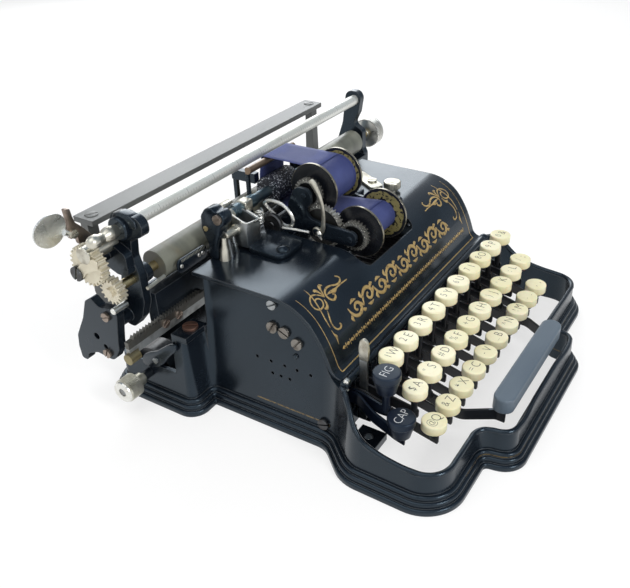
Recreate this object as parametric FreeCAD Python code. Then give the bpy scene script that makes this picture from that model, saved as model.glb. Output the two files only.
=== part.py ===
import FreeCAD, Part
import math
import os

os.makedirs("parts", exist_ok=True)
V = FreeCAD.Vector

# Frame: +X to the typist's right, +Y to the back, +Z up, z = 0 on the table.
# The origin is the middle of the four base screws. All sizes are in millimetres.

# ---- driving dimensions ----
keyPitch = 19.0
keysPerRow = 10
keyboardX = 1.9
firstKeyX = keyboardX - keyPitch * (keysPerRow - 1) / 2
keyRowY = (-57.0, -76.0, -91.6)
keyRowTop = (64.6, 52.9, 39.2)
capRadius = 7.4
capHeight = 6.2
collarRadius = 4.5
collarHeight = 2.5
stemRadius = 2.0

skirtHalfWidth = 127.5
skirtFront = -112.0
bumpFront = -132.0
bumpX = -10.8
bumpHalfWidth = 59.2
caseHalfWidth = 107.0
caseFlareY = -31.0
bedFront = 62.0
bedBack = 125.0
castWall = 3.0
castDraft = 5.0
caseTop = 92.5
coverSheet = 2.5
coverHalfWidth = 104.0
coverBack = 70.0

platenRadius = 9.5
platenY, platenZ = 92.0, 95.0
platenLeft, platenRight = -112.0, 128.0
leftBracketX = -128.0
rightBracketX = 137.0
bracketThick = 6.0
scaleRodY, scaleRodZ = 94.0, 128.0
scaleRodRadius = 4.0
rearRodY, rearRodZ = 118.0, 62.0
rearRodRadius = 4.0

sleeveY, sleeveZ = 72.0, 112.0
sleeveRadius = 9.5
sleeveLeft, sleeveRight = -19.0, 6.0
shaftRadius = 3.5

flangeRadius = 17.5
spoolHalf = 16.5
flangeThick = 1.5
frontSpoolY, frontSpoolZ = 2.5, 97.5
spoolRise = math.radians(32.95)
spoolsApart = 2 * flangeRadius + 5.64
rearSpoolY = frontSpoolY + spoolsApart * math.cos(spoolRise)
rearSpoolZ = frontSpoolZ + spoolsApart * math.sin(spoolRise)
idlerDrop = 11.86
idlerY = (frontSpoolY + rearSpoolY) / 2 + idlerDrop * math.sin(spoolRise)
idlerZ = (frontSpoolZ + rearSpoolZ) / 2 - idlerDrop * math.cos(spoolRise)

# ---- clearances ----
running = 0.05
fixedFit = 0.02
gap = 0.3


# ---- solids ----
def box(x0, x1, y0, y1, z0, z1):
    return Part.makeBox(x1 - x0, y1 - y0, z1 - z0, V(x0, y0, z0))


def rodX(y, z, x0, x1, r):
    return Part.makeCylinder(r, x1 - x0, V(x0, y, z), V(1, 0, 0))


def rodY(x, z, y0, y1, r):
    return Part.makeCylinder(r, y1 - y0, V(x, y0, z), V(0, 1, 0))


def rodZ(x, y, z0, z1, r):
    return Part.makeCylinder(r, z1 - z0, V(x, y, z0), V(0, 0, 1))


def turnedX(y, z, profile):
    """A solid of revolution about an axis along X, from (x, radius) points."""
    ends = [(profile[0][0], 0.0)] + list(profile) + [(profile[-1][0], 0.0)]
    wire = Part.makePolygon([V(x, y + r, z) for x, r in ends + ends[:1]])
    return Part.Face(wire).revolve(V(0, y, z), V(1, 0, 0), 360)


def turnedZ(x, y, profile):
    """A solid of revolution about a vertical axis, from (z, radius) points."""
    ends = [(profile[0][0], 0.0)] + list(profile) + [(profile[-1][0], 0.0)]
    wire = Part.makePolygon([V(x + r, y, z) for z, r in ends + ends[:1]])
    return Part.Face(wire).revolve(V(x, y, 0), V(0, 0, 1), 360)


# ---- outlines: lists of (u, v, corner radius), anticlockwise ----
tightestCorner = 0.6


def corners(points):
    return [p if len(p) == 3 else (p[0], p[1], 0.0) for p in points]


def grown(points, grow):
    """The outline moved outwards by grow, with its corner radii kept concentric."""
    points = corners(points)
    count = len(points)
    result = []
    for i in range(count):
        (au, av, _), (bu, bv, r), (cu, cv, _) = points[i - 1], points[i], points[(i + 1) % count]
        d1 = unit(bu - au, bv - av)
        d2 = unit(cu - bu, cv - bv)
        turn = d1[0] * d2[1] - d1[1] * d2[0]
        mitre = grow / (1 + d1[0] * d2[0] + d1[1] * d2[1])
        u = bu + mitre * (d1[1] + d2[1])
        v = bv - mitre * (d1[0] + d2[0])
        result.append((u, v, max(r + grow if turn > 0 else r - grow, tightestCorner)))
    return result


def unit(u, v):
    length = math.hypot(u, v)
    return (u / length, v / length)


def outlineWire(points, place):
    """A closed wire through the outline's lines and corner arcs; place maps (u, v) to a point."""
    points = corners(points)
    count = len(points)
    arcs = []
    for i in range(count):
        (au, av, _), (bu, bv, r), (cu, cv, _) = points[i - 1], points[i], points[(i + 1) % count]
        d1 = unit(bu - au, bv - av)
        d2 = unit(cu - bu, cv - bv)
        half = 0.5 * math.acos(max(-1.0, min(1.0, d1[0] * d2[0] + d1[1] * d2[1])))
        back = r * math.tan(half)
        inward = unit(d2[0] - d1[0], d2[1] - d1[1]) if half > 1e-6 else (0.0, 0.0)
        sag = r / math.cos(half) - r
        start = (bu - d1[0] * back, bv - d1[1] * back)
        middle = (bu + inward[0] * sag, bv + inward[1] * sag)
        end = (bu + d2[0] * back, bv + d2[1] * back)
        arcs.append((start, middle, end, r > 0 and half > 1e-6))
    edges = []
    for i in range(count):
        start, middle, end, rounded = arcs[i]
        if rounded:
            edges.append(Part.Arc(place(*start), place(*middle), place(*end)).toShape())
        nextStart = arcs[(i + 1) % count][0]
        if math.dist(end, nextStart) > 1e-6:
            edges.append(Part.LineSegment(place(*end), place(*nextStart)).toShape())
    return Part.Wire(edges)


def plateX(points, x0, x1):
    """An outline in (y, z), made x0 to x1 thick."""
    return Part.Face(outlineWire(points, lambda u, v: V(x0, u, v))).extrude(V(x1 - x0, 0, 0))


def plateY(points, y0, y1):
    """An outline in (x, z), made y0 to y1 thick."""
    return Part.Face(outlineWire(points, lambda u, v: V(u, y0, v))).extrude(V(0, y1 - y0, 0))


def plateZ(points, z0, z1):
    """An outline in (x, y), made z0 to z1 thick."""
    return Part.Face(outlineWire(points, lambda u, v: V(u, v, z0))).extrude(V(0, 0, z1 - z0))


def band(path, thickness):
    """The outline of a strip of even thickness along a path of (u, v, bend radius) points."""
    path = corners(path)
    half = thickness / 2
    left = []
    right = []
    for i, (u, v, r) in enumerate(path):
        before = path[max(i - 1, 0)]
        after = path[min(i + 1, len(path) - 1)]
        d1 = unit(u - before[0], v - before[1]) if i else unit(after[0] - u, after[1] - v)
        d2 = unit(after[0] - u, after[1] - v) if i < len(path) - 1 else d1
        turn = d1[0] * d2[1] - d1[1] * d2[0]
        mitre = half / (1 + d1[0] * d2[0] + d1[1] * d2[1])
        du, dv = mitre * (d1[1] + d2[1]), -mitre * (d1[0] + d2[0])
        bend = math.copysign(half, turn) if r > 0 else 0.0
        right.append((u + du, v + dv, r + bend if r > 0 else 0.0))
        left.append((u - du, v - dv, r - bend if r > 0 else 0.0))
    return right + left[::-1]


def toothed(y, z, x0, x1, pitchRadius, teeth, phase=0.0):
    """A spur gear about an axis along X, with a tooth centred at the phase angle."""
    module = 2 * pitchRadius / teeth
    root = pitchRadius - 1.1 * module
    tip = pitchRadius + 0.75 * module
    step = 2 * math.pi / teeth
    shape = ((-0.29, root), (-0.11, tip), (0.11, tip), (0.29, root))
    points = []
    for i in range(teeth):
        for share, radius in shape:
            angle = phase + (i + share) * step
            points.append((y + radius * math.cos(angle), z + radius * math.sin(angle)))
    return plateX(points, x0, x1)


def fused(first, *others):
    return first.fuse(list(others)).removeSplitter()


def save(name, *shapes):
    solids = [solid for shape in shapes for solid in shape.Solids]
    whole = solids[0] if len(solids) == 1 else Part.Compound(solids)
    whole.exportStep("parts/" + name + ".step")


# ---- base casting ----
bumpRootHalf = bumpHalfWidth + 3.5
flareEndY = caseFlareY - (skirtHalfWidth - 1 - caseHalfWidth) - 2.5
footprint = [
    (-skirtHalfWidth + 0.5, bedBack, 6),
    (-skirtHalfWidth + 0.5, bedFront, 6),
    (-caseHalfWidth, bedFront, 5),
    (-caseHalfWidth, caseFlareY, 20),
    (-skirtHalfWidth + 1, flareEndY, 20),
    (-skirtHalfWidth, skirtFront, 20),
    (bumpX - bumpRootHalf, skirtFront, 9),
    (bumpX - bumpHalfWidth, bumpFront, 10),
    (bumpX + bumpHalfWidth, bumpFront, 10),
    (bumpX + bumpRootHalf, skirtFront, 9),
    (skirtHalfWidth, skirtFront, 20),
    (skirtHalfWidth - 1, flareEndY, 20),
    (caseHalfWidth, caseFlareY, 20),
    (caseHalfWidth, bedFront, 5),
    (skirtHalfWidth - 0.5, bedFront, 6),
    (skirtHalfWidth - 0.5, bedBack, 6),
]
beads = ((6.0, 0.0, 3.6), (4.0, 3.6, 7.0), (2.0, 7.0, 10.0))
beadRound = 1.3
beyond = 160.0
rimPoints = ((-43, 49.5), (-48.5, 44.5), (-54, 36), (-60.5, 30), (-69, 26.2), (-81, 23.8), (-97, 22.8), (-145, 22))
pillarBack = 75.0
pillarTop = 57.0
bedWallTop = 27.0
crossWallY = (55.0, 58.0)
crossWallTop = 30.0
floorY = (84.0, 114.0)
floorTop = 3.0
slope = castDraft / caseTop


def sideX(z):
    """Half width of the case's outer face at height z."""
    return caseHalfWidth - slope * z


def draftedBlock(grow):
    low = outlineWire(grown(footprint, grow), lambda u, v: V(u, v, 0))
    high = outlineWire(grown(footprint, grow - castDraft), lambda u, v: V(u, v, caseTop))
    return Part.makeLoft([low, high], True, True)


# Cover section: arcs given by their radius and the slope angles they run between.
coverFlatFront = 9.5
coverArcs = ((33.0, 0, 52), (67.0, 52, 64), (100.0, 64, 72), (-7.0, 72, -8))


def coverEdges(x, inset):
    """The cover's section from its back edge to its lip, moved inwards by inset."""
    def slide(y, z, angle):
        return (y + inset * math.sin(math.radians(angle)), z - inset * math.cos(math.radians(angle)))

    y, z = coverFlatFront, caseTop
    start = slide(y, z, 0)
    edges = [Part.LineSegment(V(x, coverBack, start[1]), V(x, *start)).toShape()]
    for radius, first, last in coverArcs:
        places = []
        for angle in (first, (first + last) / 2, last):
            py = y - radius * (math.sin(math.radians(angle)) - math.sin(math.radians(first)))
            pz = z - radius * (math.cos(math.radians(first)) - math.cos(math.radians(angle)))
            places.append((py, pz, angle))
        edges.append(Part.Arc(*[V(x, *slide(*place)) for place in places]).toShape())
        y, z = places[-1][:2]
    return edges, slide(y, z, coverArcs[-1][2])


def pointsX(x, pairs):
    return [V(x, y, z) for y, z in pairs]


def castingSection():
    """Everything under the casting's top edge, seen from the side, as one thick block."""
    edges, lip = coverEdges(-beyond, coverSheet)
    rim = Part.BSplineCurve()
    rim.interpolate(pointsX(-beyond, rimPoints))
    wayDown = Part.makePolygon(pointsX(-beyond, [lip, (lip[0], rimPoints[0][1]), rimPoints[0]])).Edges
    rimEnd = rimPoints[-1]
    under = Part.makePolygon(pointsX(-beyond, [
        rimEnd, (rimEnd[0], -1), (coverBack, -1), (coverBack, caseTop - coverSheet)])).Edges
    block = Part.Face(Part.Wire(edges + wayDown + [rim.toShape()] + under)).extrude(V(2 * beyond, 0, 0))
    bedHigh = box(-beyond, beyond, bedFront - 1, pillarBack, -1, pillarTop)
    bedLow = box(-beyond, beyond, pillarBack - 1, bedBack + 10, -1, bedWallTop)
    front = block.common(box(-beyond, beyond, rimEnd[0] - 5, bedFront, -2, caseTop + 5))
    return front.fuse([bedHigh, bedLow])


leverPivotY, leverPivotZ = 36.0, 38.0
pivotRodRadius = 2.5
barPivotY, barPivotZ = 25.0, 24.0
barPinRadius = 1.5
screwHoleRadius = 2.75
screwX, screwY = 94.0, 48.5
lugThick = 5.0
hammerX = -6.0
hammerPivotY, hammerPivotZ = 109.7, 56.0
hammerPinRadius = 2.0
guideLugX = ((-34.0, -22.0), (30.0, 42.0))
beamY = (82.0, 90.0)
beamZ = (60.0, platenZ - platenRadius - 1.5)
drumY, drumZ = 99.0, 19.0
drumShaftRadius = 3.0
combY = (-40.0, -34.0)
ventRadius = 1.1
ventRows = ((46.0, (24.4, 14.1, 4.0, -5.0, -14.7)), (37.5, (13.2, 6.9, 0.5)))


# Screw heads on the side walls: (y, z, radius). The last one stands in a spot face where the wall flares.
sideScrews = ((11.4, 86.7, 3.0), (11.6, 71.4, 3.6), (3.2, 70.3, 3.6), (-5.9, 65.5, 3.6), (-4.4, 56.0, 1.6))
flareScrew = (-24.2, 14.0, 3.6)
sideScrewHeight = 1.6
spotFaceDepth, spotFaceGap = 6.0, 0.3


def sideScrew(side, y, z, radius, height):
    lean = math.atan(slope)
    outward = V(side * math.cos(lean), 0, math.sin(lean))
    return Part.makeCylinder(radius, height, V(side * sideX(z), y, z), outward)


def baseCasting():
    inner = draftedBlock(-castWall)
    shell = draftedBlock(0).cut(inner)
    for grow, z0, z1 in beads:
        layer = plateZ(grown(footprint, grow), z0, z1)
        topEdges = [e for e in layer.Edges if min(v.Z for v in e.Vertexes) > z1 - 1e-6]
        layer = layer.makeFillet(beadRound, topEdges)
        shell = shell.fuse(layer.cut(inner.common(box(-200, 200, -200, 200, -1, z1 + 1))))
    shell = shell.common(castingSection())
    extras = []
    for side in (-1, 1):
        def sided(x0, x1, *rest):
            return box(min(side * x0, side * x1), max(side * x0, side * x1), *rest)

        extras.append(sided(screwX - 8, 116, -screwY - 8.5, -screwY + 8.5, 0, lugThick))
        extras.append(sided(screwX - 8, 106, screwY - 8.5, screwY + 8.5, 0, lugThick))
        extras.append(sided(97, 106.8, combY[0] - 2, combY[1] + 8, 6, 14))
        extras.append(sided(91, 94, barPivotY - 4, crossWallY[1], barPivotZ - 6, barPivotZ + 5))
        extras.append(sided(104, skirtHalfWidth - 3, bedFront + 1, pillarBack, pillarTop - 4, pillarTop))
        extras.append(sided(104, 107, bedFront, pillarBack, 0, pillarTop))
        extras.append(sided(104, skirtHalfWidth - 3, pillarBack - 3, pillarBack, 0, pillarTop))
    extras.append(box(-104, 104, *crossWallY, 0, crossWallTop))
    extras.append(box(-125, 125, *floorY, 0, floorTop))
    for x0, x1 in guideLugX:
        extras.append(box(x0, x1, beamY[0] + gap, beamY[1] + 4, 0, beamZ[0] - gap))
        extras.append(box(x0, x1, beamY[1] + gap, beamY[1] + 4, beamZ[0] - 1, beamZ[0] + 12))
    for x0 in (hammerX - 6, hammerX + 3.3):
        ear = [(99, 0), (113.4, 0), (113.4, 60.4, 4), (105.4, 60.4, 4)]
        extras.append(plateX(ear, x0, x0 + 2.7))
    extras.append(box(-106, -102, drumY - 7, drumY + 7, 0, drumZ + 7))
    casting = shell.fuse(extras).removeSplitter()
    holes = [rodX(leverPivotY, leverPivotZ, -103.6, 103.6, pivotRodRadius + running)]
    holes.append(rodX(barPivotY, barPivotZ, -95, 95, barPinRadius + running))
    holes.append(rodX(hammerPivotY, hammerPivotZ, hammerX - 7, hammerX + 7, hammerPinRadius + running))
    holes.append(rodX(drumY, drumZ, -beyond, -100, drumShaftRadius + running))
    for side in (-1, 1):
        for y in (-screwY, screwY):
            holes.append(rodZ(side * screwX, y, -1, lugThick + 1, screwHoleRadius))
        for z, places in ventRows:
            for y in places:
                holes.append(rodX(y, z, side * 104 - 6, side * 104 + 6, ventRadius))
        flareY, flareZ, flareRadius = flareScrew
        holes.append(sideScrew(side, flareY, flareZ, flareRadius + spotFaceGap, spotFaceDepth))
    return casting.cut(holes)


save("base_casting", baseCasting())

# ---- cover ----
cutLeft, cutRight = -33.5, 34.0
cutFront = frontSpoolY - flangeRadius + 2.0
cutBack = 44.0
lipBeadRadius = 2.5
lipBallRadius = 3.4


def topCover():
    x = -coverHalfWidth
    outer, outerLip = coverEdges(x, 0.0)
    under, underLip = coverEdges(x, coverSheet)
    backTop = V(x, coverBack, caseTop)
    backLow = V(x, coverBack, caseTop - coverSheet)
    lipTop = V(x, *outerLip)
    lipLow = V(x, *underLip)
    ends = [Part.LineSegment(lipTop, lipLow).toShape(), Part.LineSegment(backLow, backTop).toShape()]
    wire = Part.Wire(Part.__sortEdges__(outer + under + ends))
    sheet = Part.Face(wire).extrude(V(2 * coverHalfWidth, 0, 0))
    window = plateZ(
        [(cutLeft, cutFront, 6), (cutRight, cutFront, 6), (cutRight, cutBack, 3), (cutLeft, cutBack, 3)],
        caseTop - 40, caseTop + 5)
    middle = ((outerLip[0] + underLip[0]) / 2 - 1.5, (outerLip[1] + underLip[1]) / 2)
    bead = rodX(*middle, -coverHalfWidth, coverHalfWidth, lipBeadRadius)
    balls = [Part.makeSphere(lipBallRadius, V(side * coverHalfWidth, *middle)) for side in (-1, 1)]
    return fused(sheet.cut(window), bead, *balls)


save("top_cover", topCover())

# ---- screws, thumb nut and strip on the case ----
thumbNutX, thumbNutY, thumbNutRadius = 62.0, 20.0, 6.3
thumbNut = turnedZ(thumbNutX, thumbNutY, [
    (caseTop, 4.2), (caseTop + 1.5, 4.2), (caseTop + 2.0, thumbNutRadius),
    (caseTop + 7.0, thumbNutRadius), (caseTop + 7.6, thumbNutRadius - 0.6)])
stripPath = band([(75.0, 57.0), (58.0, 29.5)], 10.0)
coverStrip = plateZ([(u, v, 3) for u, v, _ in stripPath], caseTop, caseTop + 2.2)
stripScrew = rodZ(64.9, 38.4, caseTop + 2.2, caseTop + 3.6, 3.4)
bedScrews = [rodZ(side * 113.0, 69.0, pillarTop, pillarTop + 1.4, 5.0) for side in (-1, 1)]
heads = [sideScrew(side, *screw, sideScrewHeight) for side in (-1, 1) for screw in sideScrews + (flareScrew,)]
save("case_fasteners", *heads, thumbNut, coverStrip, stripScrew, *bedScrews)

# ---- key lever work ----
leverThick = 1.4
leverBottom, leverTop = 34.0, 42.0
leverBack = 42.0
combBarZ = (14.0, 26.0)
combTop = 46.0
slotWidth = 2.2
slotBottom = 28.0
figLeverX, capLeverX = -98.2, -100.3
spaceArmX = (firstKeyX + keyPitch * 5 / 6, firstKeyX + keyPitch * (6 + 5 / 6))
spaceX = sum(spaceArmX) / 2
rodEnd = 103.3

save("key_fulcrum_rod", rodX(leverPivotY, leverPivotZ, -rodEnd, rodEnd, pivotRodRadius))


def keyX(row, column):
    return firstKeyX + keyPitch * column - row * keyPitch / 3


lockX = -94.0
lockPivotY, lockPivotZ = -45.0, 21.0
lockPinRadius = 1.5


def keyComb():
    bar = box(-101.5, 101.5, *combY, *combBarZ)
    fins = box(-95.3, 92.0, *combY, combBarZ[1] - 1, combTop)
    levers = [keyX(row, column) for row in range(3) for column in range(keysPerRow)] + list(spaceArmX)
    slots = [
        box(x - slotWidth / 2, x + slotWidth / 2, combY[0] - 1, combY[1] + 1, slotBottom, combTop + 1)
        for x in levers if x > -95]
    lug = box(-92.8, -91.0, lockPivotY - 4, combY[0] + 2, 16.0, 27.0)
    hole = rodX(lockPivotY, lockPivotZ, -94, -90, lockPinRadius + running)
    return fused(bar, fins.cut(slots), lug).cut(hole)


save("key_comb", keyComb())

pivotHole = rodX(leverPivotY, leverPivotZ, -110, 110, pivotRodRadius + running)


def capDisc(x, y, top, radius, height):
    disc = rodZ(x, y, top - height, top, radius)
    return disc.makeFillet(0.9, [e for e in disc.Edges if len(e.Vertexes) == 1])


# Side outlines of the levers of the three rows, from the pivot to under the key.
rowLever = (
    [(leverBack, leverBottom), (leverBack, leverTop, 3), (-60.0, leverTop, 2), (-60.0, 36.0, 1), (-46.0, leverBottom)],
    [(leverBack, leverBottom), (leverBack, leverTop, 3), (-46.0, leverTop), (-79.0, 36.5, 2), (-79.0, 30.5, 1),
     (-46.0, leverBottom)],
    [(leverBack, leverBottom), (leverBack, leverTop, 3), (-46.0, leverTop), (-95.0, 28.5, 2), (-95.0, 22.5, 1),
     (-46.0, leverBottom)],
)


def leverTopAt(row, y):
    (y0, z0), (y1, z1) = ((-46.0, leverTop), (rowLever[row][3][0], rowLever[row][3][1]))
    if row == 0:
        return leverTop
    return z0 + (z1 - z0) * (y - y0) / (y1 - y0)


def keySolids(row, column):
    x, y = keyX(row, column), keyRowY[row]
    lever = plateX(rowLever[row][::-1], x - leverThick / 2, x + leverThick / 2).cut(pivotHole)
    capBottom = keyRowTop[row] - capHeight
    stemBottom = leverTopAt(row, y) - 3.0
    stem = rodZ(x, y, stemBottom, capBottom, stemRadius)
    collar = rodZ(x, y, capBottom - collarHeight, capBottom, collarRadius)
    cap = capDisc(x, y, keyRowTop[row], capRadius, capHeight)
    return fused(lever, stem, collar), cap


keyNames = (
    ("w", "e", "r", "t", "y", "u", "i", "o", "p", "ampersand"),
    ("a", "s", "d", "f", "g", "h", "j", "k", "l", "semicolon"),
    ("q", "z", "x", "c", "v", "b", "n", "m", "stop", "comma"),
)
for row, names in enumerate(keyNames):
    for column, letter in enumerate(names):
        save("key_" + letter, *keySolids(row, column))

shiftCapRadius = 8.2
shiftCapHeight = 5.0
figKey = (-102.0, -64.0, 66.5)
capKey = (-109.0, -77.4, 45.0)


def shiftKey(key, path, profile, stemBottom, coneHeight):
    x, y, top = key
    strap = plateZ(band(path, leverThick), 15, 60)
    lever = strap.common(plateX(profile[::-1], -125, -90)).cut(pivotHole)
    capBottom = top - shiftCapHeight
    stem = rodZ(x, y, stemBottom, capBottom - coneHeight + 0.5, 2.3)
    cone = turnedZ(x, y, [(capBottom - coneHeight, 3.2), (capBottom, shiftCapRadius - 1.6)])
    return fused(lever, stem, cone), capDisc(x, y, top, shiftCapRadius, shiftCapHeight)


figPath = [(figLeverX, leverBack), (figLeverX, -46, 8), (-102, -60, 8), (-102, -67)]
figProfile = [(leverBack, leverBottom), (leverBack, leverTop, 3), (-67, leverTop), (-67, 35),
              (-46, leverBottom)]
save("fig_key", *shiftKey(figKey, figPath, figProfile, 38.0, 6.5))

capPath = [(capLeverX, leverBack), (capLeverX, -44, 8), (-106.5, -58, 10), (-109, -74, 8), (-109, -80)]
capProfile = [(leverBack, leverBottom), (leverBack, leverTop, 3), (-46, leverTop), (-80, 33), (-80, 25),
              (-46, leverBottom)]
save("cap_key", *shiftKey(capKey, capPath, capProfile, 29.0, 6.0))

# ---- space bar and its rocking bar ----
spaceHalf = 49.0
spaceY = (-123.6, -110.6)
spaceZ = (28.0, 37.5)


def spaceBar():
    half = (spaceY[1] - spaceY[0]) / 2 - 0.01
    plan = [(spaceX - spaceHalf, spaceY[0], half), (spaceX + spaceHalf, spaceY[0], half),
            (spaceX + spaceHalf, spaceY[1], half), (spaceX - spaceHalf, spaceY[1], half)]
    bar = plateZ(plan, *spaceZ)
    bar = bar.makeFillet(1.2, [e for e in bar.Edges if min(v.Z for v in e.Vertexes) > spaceZ[1] - 1e-6])
    path = [(spaceArmX[0], leverBack), (spaceArmX[0], -97, 10), (spaceX - spaceHalf + 3, -114, 5),
            (spaceX - spaceHalf + 3, -120)]
    profile = [(leverBack, leverBottom), (leverBack, leverTop, 3), (-46, leverTop), (-92, spaceZ[0]),
               (-122, spaceZ[0]), (-122, 20), (-92, 21), (-46, leverBottom)]
    strap = plateZ(band(path, leverThick), 15, 60)
    left = strap.common(plateX(profile[::-1], spaceArmX[0] - 15, spaceX)).cut(pivotHole)
    right = left.mirror(V(spaceX, 0, 0), V(1, 0, 0))
    return bar, left, right


save("space_bar", *spaceBar())

universalY, universalTop = 5.0, 31.4


def universalBar():
    pin = rodX(barPivotY, barPivotZ, -94, 94, barPinRadius)
    bar = box(-88, 88, universalY - 3, universalY + 3, universalTop - 3, universalTop)
    side = [(barPivotY + 3, barPivotZ - 3, 2), (barPivotY + 3, barPivotZ + 3, 2),
            (universalY, universalTop), (universalY - 3, universalTop - 3), (barPivotY - 3, barPivotZ - 3, 2)]
    arms = [plateX(side, x, x + 2) for x in (-88.0, 86.0)]
    return fused(bar, pin, *arms)


save("universal_bar", universalBar())


def shiftLockLever():
    half = 0.9
    blade = plateX([(lockPivotY - 2.5, lockPivotZ - 3, 2.4), (lockPivotY + 2.5, lockPivotZ - 3, 2.4),
                    (lockPivotY + 2.5, 75.0, 2.4), (lockPivotY - 2.5, 75.0, 2.4)], lockX - half, lockX + half)
    pin = rodX(lockPivotY, lockPivotZ, lockX, lockX + 4, lockPinRadius)
    return fused(blade, pin)


save("shift_lock_lever", shiftLockLever())

# ---- type sleeve and its bracket ----
pedestalTop = 96.0
postX = (-80.5, -75.5)
rightPostX = (20.0, 24.0)


def sleeveBracket():
    plan = [(-55, 34.5, 4), (-38, 34.5, 4), (-38, cutBack + 2, 2), (38, cutBack + 2, 2), (38, 34.5, 3),
            (48, 34.5, 3), (48, 64, 4), (-52, 64, 6)]
    pedestal = plateZ(plan, caseTop, pedestalTop)
    post = plateX([(65.2, caseTop), (75.0, caseTop), (79.0, 100.0, 4), (78.0, 108.2, 3),
                   (80.5, 117.5, 3), (64.7, 122.6, 3), (64.7, 106.9, 3)], *postX)
    rightPost = plateX([(62.0, caseTop), (64.0, caseTop), (78.0, 104.0, 4), (78.0, 118.0, 5),
                        (66.0, 118.0, 5), (62.0, 106.0, 4)], *rightPostX)
    hole = rodX(sleeveY, sleeveZ, -85, 30, shaftRadius + running)
    scale = plateY([(-107.5, 90.0, 4), (postX[0], 90.0), (postX[0], 99.0), (-107.5, 99.0, 4)], 77.0, 78.6)
    return fused(pedestal, rightPost).cut(hole), post.cut(hole), scale


save("sleeve_bracket", *sleeveBracket())

save("sleeve_shaft", turnedX(sleeveY, sleeveZ, [
    (-90, shaftRadius), (-72, shaftRadius), (-72, 7.0), (-64, 7.0), (-64, 5.2), (-50, 5.2),
    (-50, 6.6), (-44, 6.6), (-44, shaftRadius), (26, shaftRadius)]))
save("type_sleeve", rodX(sleeveY, sleeveZ, sleeveLeft, sleeveRight, sleeveRadius).cut(
    rodX(sleeveY, sleeveZ, sleeveLeft - 1, sleeveRight + 1, shaftRadius + running)))


def hammer():
    arm = box(hammerX - 1.5, hammerX + 1.5, 108.2, 111.2, hammerPivotZ, 114.0)
    head = box(hammerX - 2.5, hammerX + 2.5, 91.0, 111.2, 109.0, 116.0)
    hub = rodX(hammerPivotY, hammerPivotZ, hammerX - 3.0, hammerX + 3.0, 3.6)
    pin = rodX(hammerPivotY, hammerPivotZ, hammerX - 6.0, hammerX + 6.0, hammerPinRadius)
    return fused(arm, head, hub, pin)


save("hammer", hammer())

# ---- ribbon work ----
axleRadius = 2.0
armX = (-29.3, -26.6)
rightArmX = (20.0, 22.4)
gearX = (-24.5, -20.0)
idlerTeeth, spoolTeeth = 36, 24
idlerPitch = math.dist((frontSpoolY, frontSpoolZ), (idlerY, idlerZ)) * idlerTeeth / (idlerTeeth + spoolTeeth)
rearDistance = math.dist((rearSpoolY, rearSpoolZ), (idlerY, idlerZ))
ribbonHalf = 14.2
frontPack, rearPack = 9.5, 13.5
ribbonThick = 0.4
guideY, guideZ, guideRadius = 76.5, 130.5, 2.4
guideX = (-33.5, 19.0)
strapThick = 2.0


def ribbonFrame():
    arm = [(-2.0, 92.8, 4), (38.0, 92.8, 4), (46.0, pedestalTop), (57.0, pedestalTop), (57.0, 99.5, 1),
           (49.5, 102.0, 3), (rearSpoolY + 11.9, rearSpoolZ - 6.6, 5), (rearSpoolY + 6.4, rearSpoolZ + 5.4, 6),
           (rearSpoolY - 5.6, rearSpoolZ + 5.4, 5), (rearSpoolY - 5.6, rearSpoolZ - 4.6, 3),
           (rearSpoolY - 1.6, rearSpoolZ - 7.6, 4), (rearSpoolY - 3.1, rearSpoolZ - 14.1, 5),
           (24.0, 103.6, 4), (-2.0, 102.6, 4)]
    pieces = [plateX(arm, *armX), plateX(arm, *rightArmX)]
    axles = [rodX(frontSpoolY, frontSpoolZ, armX[0] - 1, 40.6, axleRadius)]
    axles.append(rodX(rearSpoolY, rearSpoolZ, armX[0] - 1, rightArmX[1] + 1, axleRadius))
    axles.append(rodX(idlerY, idlerZ, armX[0] - 3, gearX[1] + 1, axleRadius))
    frame = fused(pieces[0], pieces[1], *axles)
    guide = rodX(guideY, guideZ, *guideX, guideRadius)
    for x0 in (guideX[0], guideX[1] - strapThick):
        strap = [(guideY - 0.2, pedestalTop), (guideY + 2.2, pedestalTop), (guideY + 2.2, guideZ),
                 (guideY - 0.2, guideZ)]
        foot = box(x0, x0 + strapThick, 60.0, guideY + 2.2, pedestalTop, pedestalTop + 2.0)
        guide = fused(guide, plateX(strap, x0, x0 + strapThick), foot)
    return frame, guide


save("ribbon_frame", *ribbonFrame())


def spool(y, z, packRadius, phase):
    flanges = [rodX(y, z, -spoolHalf, -spoolHalf + flangeThick, flangeRadius)]
    flanges.append(rodX(y, z, spoolHalf - flangeThick, spoolHalf, flangeRadius))
    pack = rodX(y, z, -spoolHalf, spoolHalf, packRadius)
    hub = rodX(y, z, gearX[1] - 0.5, spoolHalf, 4.0)
    distance = math.dist((y, z), (idlerY, idlerZ))
    gear = toothed(y, z, *gearX, distance - idlerPitch, spoolTeeth, phase)
    bore = rodX(y, z, gearX[0] - 1, spoolHalf + 1, axleRadius + running)
    return fused(pack, hub, gear, *flanges).cut(bore)


def meshPhase(fromY, fromZ, toY, toZ, teeth):
    """Turns a gear so that the middle of one of its spaces faces the other gear."""
    toward = math.atan2(toZ - fromZ, toY - fromY)
    return toward + math.pi / teeth


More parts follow.
